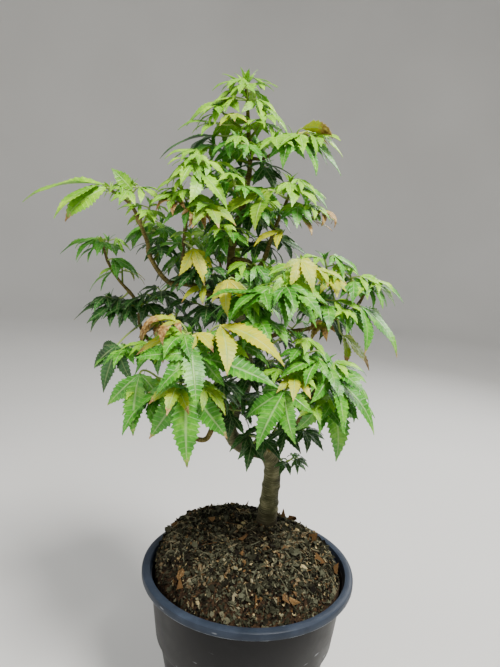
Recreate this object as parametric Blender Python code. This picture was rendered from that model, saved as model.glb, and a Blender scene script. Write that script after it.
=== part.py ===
"""Bonsai-trained potted plant with palmate, arching leaves, in a round nursery pot.

Metres, +Z up.  The origin is the centre of the pot's flat underside.
"""
import itertools
import math

import bmesh
import bpy
from mathutils import Matrix, Vector
from mathutils.bvhtree import BVHTree

MM = 0.001
GAP = 0.35                    # clearance between neighbouring pieces, mm

# Pot: turned profile, mm
POT_HEIGHT = 160.0
RIM_RADIUS = 100.0
RIM_INNER_RADIUS = 92.1
LIP_DEPTH = 7.4
WALL = 2.0
SHOULDER_RADIUS = 91.7        # wall under the lip
STEP_HEIGHT = 91.0            # the wall steps in here
STEP_RADIUS = 84.8
STEP_IN = 3.2
FOOT_RADIUS = 64.5
GROOVE_INNER = 44.0           # raised ring in the underside, which holds the drain holes
GROOVE_OUTER = 58.0
GROOVE_DEPTH = 3.0
FLOOR = 2.5
DRAIN_HOLES = 8
DRAIN_RADIUS = 3.0
POT_SEGMENTS = 48

# Soil and leaf litter, mm
TRUNK_FOOT = (17.0, 30.0)
SOIL_EDGE_Z = 144.0
SOIL_RISE = 26.0
LITTER_EDGE_Z = 152.0
LITTER_RISE = 36.0
LITTER_RADIUS = 88.0
LITTER_HOLE = 11.5
LITTER_FLOOR_GAP = 0.4

# Leaf, mm
HUB_RADIUS = 1.9
LEAF_KEEL = 0.9
PETIOLE_WIDTH = 1.7
LEAFLET_WIDTH = 0.25          # of its length
FANS = {
    3: ((0, 1.0), (42, 0.8)),
    5: ((0, 1.0), (38, 0.86), (80, 0.55)),
}
# Stations along a leaflet: fraction of length, fraction of full width
LEAFLET_STATIONS = ((0.16, 0.34), (0.42, 1.0), (0.72, 0.72), (0.9, 0.3))

GREENS = {
    "young": (0.36, 0.62, 0.08),
    "mid": (0.16, 0.42, 0.06),
    "deep": (0.05, 0.19, 0.04),
    "yellow": (0.72, 0.68, 0.10),
}

# Woody frame: name, parent, points in mm, radius at the start and at the end, sides
LIMBS = (
    ("trunk", None, ((17, 30, 177), (17, 30, 198), (18, 27, 223), (18, 22, 249),
                     (11, 17, 264), (-3, 11, 270), (-16, 5, 277), (-25, 2, 291),
                     (-22, 5, 308), (-15, 11, 324), (-12, 14, 343), (-15, 14, 368),
                     (-22, 12, 394), (-28, 9, 419), (-32, 8, 441)), 9.6, 4.2, 12),
    ("leader_stem", "trunk", ((-33, 8, 458), (-29, 9, 479), (-24, 10, 498),
                              (-22, 10, 515), (-21, 8, 530), (-24, 4, 556),
                              (-26, 1, 575), (-28, 0, 590)), 3.9, 1.2, 8),
    ("upper_right_branch", "leader_stem", ((-19, 2, 446), (-10, 0, 441), (-4, -4, 448),
                                           (0, -6, 462), (4, -6, 476), (9, -8, 490),
                                           (14, -10, 505)), 2.8, 1.3, 7),
    ("top_right_twig", "leader_stem", ((-11, 2, 533), (3, -4, 540), (14, -8, 548)),
     1.6, 1.0, 6),
    ("upper_left_branch", "trunk", ((-45, 0, 414), (-66, -8, 423), (-85, -12, 425),
                                    (-100, -14, 444), (-103, -14, 456), (-110, -12, 472),
                                    (-116, -12, 484), (-124, -12, 492),
                                    (-135, -12, 498)), 2.9, 1.2, 7),
    ("inner_left_stem", "upper_left_branch", ((-73, -14, 443), (-71, -20, 473),
                                              (-66, -26, 493), (-62, -28, 511),
                                              (-61, -28, 525)), 1.9, 1.0, 6),
    ("lower_left_branch", "trunk", ((-45, 26, 358), (-78, 36, 356), (-105, 38, 361),
                                    (-116, 34, 376), (-117, 28, 394), (-122, 24, 406),
                                    (-135, 20, 421), (-144, 18, 436),
                                    (-149, 16, 452)), 2.9, 1.1, 7),
    ("hooked_branch", "trunk", ((-33, -6, 317), (-38, -14, 308), (-40, -18, 298),
                                (-45, -22, 289), (-55, -30, 293), (-62, -42, 307),
                                (-63, -56, 327), (-59, -66, 343)), 3.4, 1.6, 8),
    ("front_branch", "trunk", ((-23, -8, 359), (-38, -34, 371), (-51, -56, 379),
                               (-57, -66, 383)), 2.7, 1.5, 7),
    ("lower_right_branch", "trunk", ((23, 6, 281), (33, -6, 299), (41, -20, 321),
                                     (46, -32, 340), (49, -40, 355)), 3.2, 1.4, 7),
    ("middle_right_branch", "trunk", ((1, 2, 378), (18, -8, 387), (36, -12, 391),
                                      (59, -16, 402), (76, -18, 413), (84, -20, 429)),
     2.7, 1.1, 7),
    ("centre_front_branch", "trunk", ((-13, -10, 403), (-3, -28, 413), (4, -38, 423)),
     2.2, 1.2, 6),
    ("back_branch", "trunk", ((-16, 40, 379), (-27, 62, 388), (-39, 80, 409),
                              (-47, 86, 439)), 2.8, 1.3, 7),
)

# Leaves: name, branch, hub in mm, tip of the middle leaflet in mm, leaflets, colour
LEAVES = (
    ("leaf_apex_left", "leader_stem", (-41, -6, 578), (-75, -18, 554), 5, "young"),
    ("leaf_apex_right", "leader_stem", (-19, -6, 577), (10, -14, 552), 5, "young"),
    ("leaf_tip_left", "leader_stem", (-36, -3, 593), (-55, -8, 582), 3, "young"),
    ("leaf_tip_right", "leader_stem", (-24, 0, 597), (-2, 2, 592), 3, "young"),
    ("leaf_dark_arch", "leader_stem", (-54, 16, 552), (-100, 18, 528), 3, "deep"),
    ("leaf_inner_shoot", "inner_left_stem", (-64, -31, 533), (-88, -38, 524), 5, "young"),
    ("leaf_inner_front", "inner_left_stem", (-60, -38, 516), (-35, -54, 488), 3, "young"),
    ("leaf_inner_left", "inner_left_stem", (-70, -32, 513), (-94, -40, 499), 3, "young"),
    ("leaf_inner_right", "inner_left_stem", (-53, -24, 526), (-22, -22, 511), 3, "young"),
    ("leaf_far_left", "upper_left_branch", (-141, -14, 503), (-209, -16, 486), 3,
     "young"),
    ("leaf_left_twig", "lower_left_branch", (-154, 14, 457), (-185, 8, 442), 5, "mid"),
    ("leaf_left_twig_inner", "lower_left_branch", (-139, 14, 440), (-113, 6, 426), 3,
     "mid"),
    ("leaf_yellow_hanging", "inner_left_stem", (-63, -28, 455), (-51, -38, 426), 3,
     "yellow"),
    ("leaf_long_right", "upper_right_branch", (-5, -22, 506), (-55, -34, 484), 3,
     "yellow"),
    ("leaf_right_shoot", "upper_right_branch", (18, -16, 512), (46, -24, 496), 5, "mid"),
    ("leaf_brown_tip", "upper_right_branch", (24, -6, 488), (52, -10, 475), 3, "yellow"),
    ("leaf_top_right", "top_right_twig", (20, -11, 550), (54, -16, 520), 5, "mid"),
    ("leaf_bleached", "top_right_twig", (17, 0, 555), (46, 10, 550), 3, "yellow"),
    ("leaf_yellow_middle", "upper_right_branch", (9, -18, 474), (-13, -28, 459), 3,
     "yellow"),
    ("leaf_yellow_palmate", "centre_front_branch", (25, -42, 452), (35, -58, 427), 5,
     "yellow"),
    ("leaf_right_upper", "middle_right_branch", (55, -14, 456), (78, -20, 442), 5,
     "mid"),
    ("leaf_right_end", "middle_right_branch", (86, -24, 437), (113, -30, 420), 5,
     "mid"),
    ("leaf_right_droop", "middle_right_branch", (79, -30, 416), (112, -38, 377), 3,
     "mid"),
    ("leaf_right_yellow", "middle_right_branch", (69, -14, 388), (92, -20, 359), 3,
     "yellow"),
    ("leaf_centre_shoot", "centre_front_branch", (10, -48, 427), (40, -66, 403), 5,
     "mid"),
    ("leaf_centre_left", "centre_front_branch", (-4, -48, 424), (-51, -60, 414), 5,
     "mid"),
    ("leaf_yellow_pair", "centre_front_branch", (-32, -38, 432), (-31, -52, 404), 3,
     "yellow"),
    ("leaf_front_whorl", "front_branch", (-57, -75, 384), (-48, -98, 341), 5, "mid"),
    ("leaf_big_yellow", "front_branch", (-35, -62, 398), (15, -84, 372), 3, "yellow"),
    ("leaf_hanging_front", "hooked_branch", (-58, -76, 350), (-53, -92, 291), 5, "mid"),
    ("leaf_blunt_tip", "hooked_branch", (-98, -58, 354), (-99, -76, 308), 3, "mid"),
    ("leaf_left_shoot", "lower_left_branch", (-130, 0, 364), (-141, -10, 322), 5,
     "deep"),
    ("leaf_dark_left", "lower_left_branch", (-136, 28, 403), (-178, 28, 380), 5, "deep"),
    ("leaf_front_right_high", "lower_right_branch", (44, -58, 375), (13, -72, 361), 5,
     "mid"),
    ("leaf_front_right", "lower_right_branch", (18, -70, 351), (-2, -88, 308), 5, "mid"),
    ("leaf_lower_right", "lower_right_branch", (55, -50, 362), (97, -60, 318), 5, "mid"),
    ("leaf_under_right", "lower_right_branch", (58, -34, 345), (68, -42, 284), 3, "mid"),
    ("leaf_back_low", "back_branch", (-12, 72, 372), (22, 106, 340), 5, "deep"),
    ("leaf_back_right", "back_branch", (-16, 92, 415), (38, 104, 394), 5, "mid"),
    ("leaf_back_left", "back_branch", (-64, 92, 428), (-114, 104, 404), 5, "mid"),
    ("leaf_back_middle", "back_branch", (-42, 102, 424), (-40, 150, 396), 5, "mid"),
    ("leaf_back_top", "back_branch", (-46, 92, 456), (-44, 132, 438), 5, "young"),
    ("leaf_back_upper", "leader_stem", (-18, 42, 512), (-10, 88, 490), 5, "mid"),
)


def clear_scene():
    for obj in list(bpy.data.objects):
        bpy.data.objects.remove(obj, do_unlink=True)


def principled(name, colour, roughness, metallic=0.0):
    mat = bpy.data.materials.new(name)
    mat.use_nodes = True
    shader = mat.node_tree.nodes["Principled BSDF"]
    shader.inputs["Base Color"].default_value = (*colour, 1.0)
    shader.inputs["Roughness"].default_value = roughness
    shader.inputs["Metallic"].default_value = metallic
    mat.diffuse_color = (*colour, 1.0)
    return mat


def object_from_bmesh(name, bm, mat, smooth=True):
    """Make a named object from a bmesh in millimetres."""
    bmesh.ops.recalc_face_normals(bm, faces=bm.faces)
    if bm.calc_volume(signed=True) < 0.0:
        bmesh.ops.reverse_faces(bm, faces=bm.faces)
    bmesh.ops.scale(bm, vec=(MM, MM, MM), verts=bm.verts)
    mesh = bpy.data.meshes.new(name)
    bm.to_mesh(mesh)
    bm.free()
    if smooth:
        mesh.shade_smooth()
        mesh.set_sharp_from_angle(angle=math.radians(40))
    mesh.materials.append(mat)
    obj = bpy.data.objects.new(name, mesh)
    bpy.context.scene.collection.objects.link(obj)
    return obj


def apply_boolean(obj, cutter, operation):
    """Join or cut with an exact boolean, and drop the cutter."""
    mod = obj.modifiers.new(operation.lower(), "BOOLEAN")
    mod.operation = operation
    mod.solver = "EXACT"
    mod.object = cutter
    graph = bpy.context.evaluated_depsgraph_get()
    mesh = bpy.data.meshes.new_from_object(obj.evaluated_get(graph))
    obj.modifiers.clear()
    old = obj.data
    obj.data = mesh
    bpy.data.meshes.remove(old)
    bpy.data.objects.remove(cutter, do_unlink=True)


def turned(profile, segments):
    """Spin a profile (r, z in mm) that starts and ends on the axis."""
    bm = bmesh.new()
    rings = []
    for radius, height in profile:
        if radius == 0.0:
            rings.append([bm.verts.new((0.0, 0.0, height))])
            continue
        ring = []
        for i in range(segments):
            angle = math.tau * i / segments
            ring.append(bm.verts.new((radius * math.cos(angle),
                                      radius * math.sin(angle), height)))
        rings.append(ring)
    for lower, upper in zip(rings, rings[1:]):
        bridge(bm, lower, upper)
    return bm


def bridge(bm, first, second):
    """Faces between two rings, either of which may be a single point."""
    count = max(len(first), len(second))
    for i in range(count):
        j = (i + 1) % count
        if len(first) == 1:
            bm.faces.new((first[0], second[j], second[i]))
        elif len(second) == 1:
            bm.faces.new((first[i], first[j], second[0]))
        else:
            bm.faces.new((first[i], first[j], second[j], second[i]))


def smooth_path(points, steps):
    """Catmull-Rom curve through the points, with the given steps per span."""
    pts = [Vector(p) for p in points]
    ext = [2 * pts[0] - pts[1]] + pts + [2 * pts[-1] - pts[-2]]
    path = []
    for a, b, c, d in zip(ext, ext[1:], ext[2:], ext[3:]):
        for k in range(steps):
            t = k / steps
            path.append(0.5 * (2 * b + (c - a) * t + (2 * a - 5 * b + 4 * c - d) * t * t
                               + (3 * b - a - 3 * c + d) * t ** 3))
    path.append(pts[-1])
    return path


def tangents(path):
    result = []
    for i in range(len(path)):
        before = path[max(i - 1, 0)]
        after = path[min(i + 1, len(path) - 1)]
        result.append((after - before).normalized())
    return result


def tube(path, radii, sides, start_direction=None):
    """Round tapered tube along a path, with flat ends."""
    bm = bmesh.new()
    dirs = tangents(path)
    if start_direction is not None:
        dirs[0] = start_direction
    side = dirs[0].orthogonal().normalized()
    previous = None
    first = None
    for point, along, radius in zip(path, dirs, radii):
        side = (side - along * side.dot(along)).normalized()
        other = along.cross(side)
        ring = []
        for i in range(sides):
            angle = math.tau * i / sides
            offset = side * math.cos(angle) + other * math.sin(angle)
            ring.append(bm.verts.new(point + offset * radius))
        if previous is None:
            first = ring
        else:
            bridge(bm, previous, ring)
        previous = ring
    bm.faces.new(list(reversed(first)))
    bm.faces.new(previous)
    return bm


def nearest_on_path(path, point):
    """Index of the station of a path that is nearest to a point."""
    return min(range(len(path)), key=lambda i: (path[i] - point).length)


def socket(branch, target, back=0):
    """Where a side shoot towards target leaves a branch, and in which direction."""
    path, radii = branch
    nearest = nearest_on_path(path, target)
    i = max(nearest - back, 1)
    along = tangents(path)[i]
    out = target - path[i]
    if i == len(path) - 1 and out.dot(along) > 0.6 * out.length:
        return path[i] + along * (GAP + 0.1), along
    out = (out - along * out.dot(along)).normalized()
    return path[i] + out * (radii[i] + GAP + 0.1), out


# ---------------------------------------------------------------- pot and filling

def wall_profile(offset, top):
    """Inner face of the pot from the floor up, moved inwards by an offset."""
    floor = FLOOR + offset
    step = STEP_HEIGHT
    return [
        (0.0, floor),
        (GROOVE_INNER - 2.5 - offset, floor),
        (GROOVE_INNER - offset, floor + GROOVE_DEPTH),
        (FOOT_RADIUS - WALL + 0.5 - offset, floor + GROOVE_DEPTH),
        (STEP_RADIUS - STEP_IN - WALL - 0.4 - offset, step - 1.5),
        (STEP_RADIUS - WALL - 0.2 - offset, step + 3.0),
        (SHOULDER_RADIUS - WALL - offset, top),
    ]


def build_pot():
    """Turned shell: dished underside, tapered wall with a step, thick lip."""
    under_lip = POT_HEIGHT - LIP_DEPTH
    outside = [
        (0.0, 0.0),
        (GROOVE_INNER, 0.0),
        (GROOVE_INNER + 2.0, GROOVE_DEPTH),
        (GROOVE_OUTER - 2.0, GROOVE_DEPTH),
        (GROOVE_OUTER, 0.0),
        (FOOT_RADIUS - 1.5, 0.0),
        (FOOT_RADIUS, 1.5),
        (STEP_RADIUS - STEP_IN, STEP_HEIGHT - 2.0),
        (STEP_RADIUS, STEP_HEIGHT + 2.0),
        (SHOULDER_RADIUS, under_lip),
        (RIM_RADIUS - 0.8, under_lip),
        (RIM_RADIUS, under_lip + 1.2),
        (RIM_RADIUS, POT_HEIGHT - 2.4),
        (RIM_RADIUS - 1.6, POT_HEIGHT - 0.4),
        (RIM_RADIUS - 3.2, POT_HEIGHT),
        (RIM_INNER_RADIUS + 1.2, POT_HEIGHT),
        (RIM_INNER_RADIUS, POT_HEIGHT - 1.2),
    ]
    inside = wall_profile(0.0, under_lip)
    bm = turned(outside + list(reversed(inside)), POT_SEGMENTS)
    mat = principled("charcoal_plastic", (0.035, 0.04, 0.05), 0.42)
    pot = object_from_bmesh("nursery_pot", bm, mat)
    ring = 0.5 * (GROOVE_INNER + GROOVE_OUTER)
    for k in range(DRAIN_HOLES):
        angle = math.tau * (k + 0.5) / DRAIN_HOLES
        place = Vector((ring * math.cos(angle), ring * math.sin(angle), 4.0)) * MM
        cut = bmesh.new()
        bmesh.ops.create_cone(cut, cap_ends=True, segments=12, radius1=DRAIN_RADIUS * MM,
                              radius2=DRAIN_RADIUS * MM, depth=8 * MM,
                              matrix=Matrix.Translation(place))
        mesh = bpy.data.meshes.new("drill")
        cut.to_mesh(mesh)
        cut.free()
        drill = bpy.data.objects.new("drill", mesh)
        bpy.context.scene.collection.objects.link(drill)
        apply_boolean(pot, drill, "DIFFERENCE")


def soil_top(x, y):
    reach = math.hypot(x, y) / LITTER_RADIUS
    return SOIL_EDGE_Z + SOIL_RISE * max(0.0, 1.0 - reach ** 3.0)


def litter_top(x, y):
    """Heaped surface of the dry leaves, with a few soft lumps."""
    reach = math.hypot(x, y) / LITTER_RADIUS
    lumps = math.sin(x * 0.11 + 1.0) * math.cos(y * 0.13) + math.sin(x * 0.05 - y * 0.09)
    heap = max(0.0, 1.0 - reach ** 3.4)
    return LITTER_EDGE_Z + LITTER_RISE * heap + 1.2 * lumps * min(1.0, 3.0 * heap)


def root_tubes(clearance):
    """Crown under the trunk and the roots that spread from it."""
    foot = Vector((*TRUNK_FOOT, 0.0))
    crown = [foot + Vector((0, 0, z)) for z in (135, 150, 165, 176.5 + 2 * clearance)]
    widths = [r + clearance for r in (6.0, 10.0, 10.5, 9.8)]
    yield crown, widths
    for k, (turn, reach, drop) in enumerate(((20, 46, 62), (95, 40, 74), (160, 74, 56),
                                             (232, 78, 70), (300, 62, 84))):
        out = Vector((math.cos(math.radians(turn)), math.sin(math.radians(turn)), 0.0))
        points = [foot + Vector((0, 0, 158)) - out * 2.0,
                  foot + out * 0.35 * reach + Vector((0, 0, 156 - 0.15 * drop)),
                  foot + out * 0.75 * reach + Vector((0, 0, 150 - 0.6 * drop)),
                  foot + out * (reach + clearance) + Vector((0, 0, 144 - drop))]
        path = smooth_path(points, 2)
        last = len(path) - 1
        widths = [5.0 - 3.6 * i / last + clearance for i in range(len(path))]
        yield path, widths


def build_roots(name, clearance, mat):
    parts = []
    for k, (path, widths) in enumerate(root_tubes(clearance)):
        bm = tube(path, widths, 8)
        parts.append(object_from_bmesh(f"{name}_{k}", bm, mat))
    roots = parts[0]
    for other in parts[1:]:
        apply_boolean(roots, other, "UNION")
    roots.name = name
    return roots


def build_soil():
    top_edge = SHOULDER_RADIUS - WALL - GAP - 1.6
    profile = wall_profile(GAP + 0.05, 150.0)[:-1]
    profile.append((top_edge - 0.9, SOIL_EDGE_Z))
    for fraction in (0.88, 0.72, 0.5, 0.25):
        radius = top_edge * fraction
        profile.append((radius, soil_top(radius, 0.0)))
    profile.append((0.0, soil_top(0.0, 0.0)))
    bm = turned(profile, 36)
    mat = principled("potting_mix", (0.05, 0.033, 0.02), 0.95)
    soil = object_from_bmesh("potting_soil", bm, mat)
    bark = principled("root_bark", (0.22, 0.16, 0.09), 0.85)
    build_roots("root_crown", 0.0, bark)
    cavity = build_roots("root_cavity", GAP, bark)
    apply_boolean(soil, cavity, "DIFFERENCE")


def build_litter():
    """Blanket of dry leaf crumbs with a hole that the trunk stands in."""
    bm = bmesh.new()
    segments = 36
    foot = Vector((*TRUNK_FOOT, 0.0))
    columns = []
    blends = (0.0, 0.18, 0.4, 0.62, 0.8, 0.93, 1.0)
    for i in range(segments):
        angle = math.tau * i / segments
        out = Vector((math.cos(angle), math.sin(angle), 0.0))
        inner = foot + out * LITTER_HOLE
        outer = out * LITTER_RADIUS
        top = []
        bottom = []
        for blend in blends:
            p = inner.lerp(outer, blend)
            low = soil_top(p.x, p.y) + LITTER_FLOOR_GAP + 1.3
            high = max(litter_top(p.x, p.y), low + 3.0)
            top.append(bm.verts.new((p.x, p.y, high)))
            bottom.append(bm.verts.new((p.x, p.y, low)))
        columns.append(top + bottom[::-1])
    for i in range(segments):
        bridge(bm, columns[i], columns[(i + 1) % segments])
    mat = principled("dry_leaf_litter", (0.16, 0.13, 0.07), 0.9)
    object_from_bmesh("leaf_litter", bm, mat)


# ---------------------------------------------------------------- woody frame

def build_limbs():
    """Trunk, leader and branches; each starts just clear of its parent."""
    frame = {}
    for name, parent, points, start, end, sides in LIMBS:
        points = [Vector(p) for p in points]
        direction = None
        if parent == "trunk" and name == "leader_stem":
            path, radii = frame["trunk"]
            direction = tangents(path)[-1]
            points.insert(0, path[-1] + direction * GAP)
        elif parent is not None:
            origin, direction = socket(frame[parent], points[0])
            points.insert(0, origin + direction * (0.22 * (points[0] - origin).length))
            points.insert(0, origin)
        path = smooth_path(points, 3 if name == "trunk" else 2)
        last = len(path) - 1
        radii = [start + (end - start) * (i / last) ** 0.8 for i in range(last + 1)]
        if name == "trunk":
            radii[0] = LITTER_HOLE - 1.2
            radii[1] = LITTER_HOLE - 1.4
        frame[name] = (path, radii)
        colour = (0.20, 0.18, 0.10) if name == "trunk" else (0.17, 0.15, 0.06)
        mat = principled(f"{name}_bark", colour, 0.75)
        object_from_bmesh(name, tube(path, radii, sides, direction), mat)
    return frame


# ---------------------------------------------------------------- leaves

def turn_about(vector, axis, degrees):
    return Matrix.Rotation(math.radians(degrees), 3, axis) @ vector


def leaf_frame(chord, roll):
    """Direction, side and upper normal of a leaf from its middle chord."""
    ahead = chord.normalized()
    up = Vector((0, 0, 1)) - Vector((0, 1, 0)) * 0.25
    normal = (up - ahead * up.dot(ahead)).normalized()
    normal = turn_about(normal, ahead, roll)
    return ahead, normal.cross(ahead).normalized(), normal


def leaflet_spine(hub, ahead, normal, length, arch):
    """Stations of a leaflet: point, direction and normal, bending downwards."""
    side = normal.cross(ahead).normalized()
    stations = []
    for t, width in LEAFLET_STATIONS + ((1.0, 0.0),):
        lift = math.sin(math.pi * t) * length * math.tan(math.radians(arch)) * 0.5
        point = hub + ahead * (HUB_RADIUS + (length - HUB_RADIUS) * t) + normal * lift
        bend = arch * math.cos(math.pi * t)
        heading = turn_about(ahead, side, -bend)
        upper = turn_about(normal, side, -bend)
        stations.append((point, heading, upper, width * LEAFLET_WIDTH * length))
    return stations


def extrude_blade(bm, base, stations, side, keel_depth):
    """Carry a three-sided ring along the stations and close it at the tip."""
    ring = base
    for point, _, upper, width in stations[:-1]:
        half = side * 0.5 * max(width, 0.9)
        new = [bm.verts.new(point - half), bm.verts.new(point + half),
               bm.verts.new(point - upper * keel_depth)]
        bridge(bm, ring, new)
        ring = new
    tip = bm.verts.new(stations[-1][0])
    bridge(bm, ring, [tip])


def leaf_bmesh(branch, hub, tip, count, swing, pitch, roll, scale, back):
    """One compound leaf: hub, leaflets fanned round it and the leaf stalk."""
    bm = bmesh.new()
    chord = tip - hub
    chord = turn_about(chord, Vector((0, 0, 1)), swing) * scale
    level = Vector((-chord.y, chord.x, 0.0))
    level = level.normalized() if level.length > 1e-3 else Vector((1, 0, 0))
    chord = turn_about(chord, level, pitch)
    ahead, side, normal = leaf_frame(chord, roll)
    length = chord.length
    fan = [(turn, part) for turn, part in FANS[count]]
    fan += [(-turn, part) for turn, part in FANS[count][1:]]
    fan.sort(key=lambda item: item[0])
    turns = [item[0] for item in fan]
    corners = [0.5 * (a + b) for a, b in zip(turns, turns[1:])]
    outer = 0.5 * (turns[-1] + 180.0)
    corners = [-outer] + corners + [outer]
    rim = [bm.verts.new(hub + turn_about(ahead, normal, a) * HUB_RADIUS) for a in corners]
    keel = bm.verts.new(hub - normal * LEAF_KEEL * 1.5)
    bm.faces.new(rim)
    for k, (turn, part) in enumerate(fan):
        heading = turn_about(ahead, normal, turn)
        axis = normal.cross(heading)
        heading = turn_about(heading, axis, abs(turn) * 0.28)
        upper = turn_about(normal, axis, abs(turn) * 0.28)
        stations = leaflet_spine(hub, heading, upper, length * part, 17.0)
        across = upper.cross(heading).normalized()
        extrude_blade(bm, [rim[k], rim[k + 1], keel], stations, across, LEAF_KEEL)
    foot, out = socket(branch, hub, back)
    attach_stalk(bm, foot, out, hub, ahead, normal, [rim[-1], rim[0], keel])
    return bm


def attach_stalk(bm, foot, out, hub, ahead, normal, base):
    """Leaf stalk from the hub back to its foot, just clear of the branch."""
    back = (-ahead - normal * 0.6).normalized()
    start = hub - ahead * HUB_RADIUS * 1.1 - normal * 0.5
    span = (foot - start).length
    p1 = start + back * 0.35 * span
    p2 = foot + out * 0.35 * span
    ring = base
    wide = normal.cross(ahead).normalized()
    for t in (0.2, 0.45, 0.72, 1.0):
        s = 1.0 - t
        point = start * s ** 3 + p1 * 3 * s * s * t + p2 * 3 * s * t * t + foot * t ** 3
        slope = (p1 - start) * s * s + (p2 - p1) * 2 * s * t + (foot - p2) * t * t
        slope = -out if t == 1.0 else slope.normalized()
        wide = (wide - slope * wide.dot(slope)).normalized()
        deep = wide.cross(slope)
        half = 0.5 * PETIOLE_WIDTH
        new = [bm.verts.new(point - wide * half + deep * 0.4),
               bm.verts.new(point + wide * half + deep * 0.4),
               bm.verts.new(point - deep * 1.1)]
        bridge(bm, ring, [new[1], new[0], new[2]])
        ring = [new[1], new[0], new[2]]
    bm.faces.new(ring)


class Crowd:
    """The pieces already placed, for keeping the next one clear of them."""

    def __init__(self):
        self.trees = []

    def add(self, points, faces):
        box = [(min(p[k] for p in points), max(p[k] for p in points)) for k in range(3)]
        self.trees.append((BVHTree.FromPolygons(points, faces), points, box))

    def clear(self, points, faces, margin):
        tree = BVHTree.FromPolygons(points, faces)
        box = [(min(p[k] for p in points), max(p[k] for p in points)) for k in range(3)]
        for other, others, bounds in self.trees:
            if any(box[k][0] > bounds[k][1] + margin or box[k][1] < bounds[k][0] - margin
                   for k in range(3)):
                continue
            if tree.overlap(other):
                return False
            if any(other.find_nearest(p, margin)[0] is not None for p in points):
                return False
            if any(tree.find_nearest(p, margin)[0] is not None for p in others):
                return False
        return True


def mesh_lists(source):
    return [v.co.copy() for v in source.verts], [[v.index for v in f.verts]
                                                 for f in source.faces]


def nudges():
    """Small turns, shrinkings and shifts of a leaf, mildest first."""
    options = []
    for swing, pitch, roll, scale, back in itertools.product(
            (0, 7, -7, 14, -14, 22, -22), (0, 6, -6, 12, -12, 20), (0, 12, -12, 24, -24),
            (1.0, 0.9, 0.8, 0.7), (0, 1, 2, 3, 4)):
        cost = (1 - scale) * 130 + abs(swing) + abs(pitch) + abs(roll) * 0.6 + back * 3
        options.append((cost, swing, pitch, roll, scale, back))
    return sorted(options)


def build_leaves(frame):
    crowd = Crowd()
    for name in frame:
        bm = bmesh.new()
        bm.from_mesh(bpy.data.objects[name].data)
        bmesh.ops.scale(bm, vec=(1 / MM, 1 / MM, 1 / MM), verts=bm.verts)
        bm.verts.index_update()
        crowd.add(*mesh_lists(bm))
        bm.free()
    options = nudges()
    for name, branch, hub, tip, count, tint in LEAVES:
        for _, *nudge in options:
            bm = leaf_bmesh(frame[branch], Vector(hub), Vector(tip), count, *nudge)
            bmesh.ops.triangulate(bm, faces=bm.faces)
            bm.verts.index_update()
            points, faces = mesh_lists(bm)
            if crowd.clear(points, faces, GAP):
                break
            bm.free()
        else:
            raise RuntimeError(f"no clear place for {name}")
        crowd.add(points, faces)
        mat = principled(f"{name}_{tint}", GREENS[tint], 0.5)
        object_from_bmesh(name, bm, mat, smooth=False)


def main():
    clear_scene()
    build_pot()
    build_soil()
    build_litter()
    frame = build_limbs()
    build_leaves(frame)


main()
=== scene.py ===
"""Looks of a bonsai-trained potted plant: bark, serrated leaves, litter and pot."""
import math
import random

import bpy
from mathutils import Matrix, Vector, noise


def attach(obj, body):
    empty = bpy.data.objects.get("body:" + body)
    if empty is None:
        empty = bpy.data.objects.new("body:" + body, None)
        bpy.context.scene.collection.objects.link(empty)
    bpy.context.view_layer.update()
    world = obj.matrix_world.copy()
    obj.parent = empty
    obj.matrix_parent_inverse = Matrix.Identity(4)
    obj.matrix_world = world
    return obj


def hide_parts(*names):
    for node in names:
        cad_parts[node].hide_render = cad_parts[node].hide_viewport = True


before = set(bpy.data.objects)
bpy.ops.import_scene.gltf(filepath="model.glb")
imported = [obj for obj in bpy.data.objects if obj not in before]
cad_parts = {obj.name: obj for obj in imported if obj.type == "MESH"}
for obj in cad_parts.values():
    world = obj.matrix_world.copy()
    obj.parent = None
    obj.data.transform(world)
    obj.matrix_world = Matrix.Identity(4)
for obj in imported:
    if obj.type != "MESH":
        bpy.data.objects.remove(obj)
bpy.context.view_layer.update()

MM = 0.001
BODY = "root"

# ---------------------------------------------------------------- sizes, mm
POT_HEIGHT = 160.0
LITTER_RADIUS = 88.0
LITTER_EDGE_Z = 152.0
LITTER_RISE = 36.0
LITTER_STEEPNESS = 5.2        # power that shapes the heap: higher stands up more steeply
BULGE_STEEPNESS = 10.0        # added to it where the heap bulges over the rim
BULGE_TURN = 3.0              # direction of that bulge, radians from +X
TRUNK_FOOT = (17.0, 30.0)
TRUNK_FOOT_RADIUS = 10.2
BLADE_THICKNESS = 0.28
FLAKE_THICKNESS = 0.35
STALK_RADIUS = 0.85
LEAFLET_WIDTH = 0.33          # widest part of a leaflet, beside its length
GOLDEN_TURN = 137.5           # degrees from one leaf to the next round a stem
# leaflets of a leaf, by their number: turn from the middle one, length beside it
FANS = {
    1: ((0, 1.0),),
    3: ((0, 1.0), (42, 0.8)),
    5: ((0, 1.0), (38, 0.86), (80, 0.55)),
}

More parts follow.
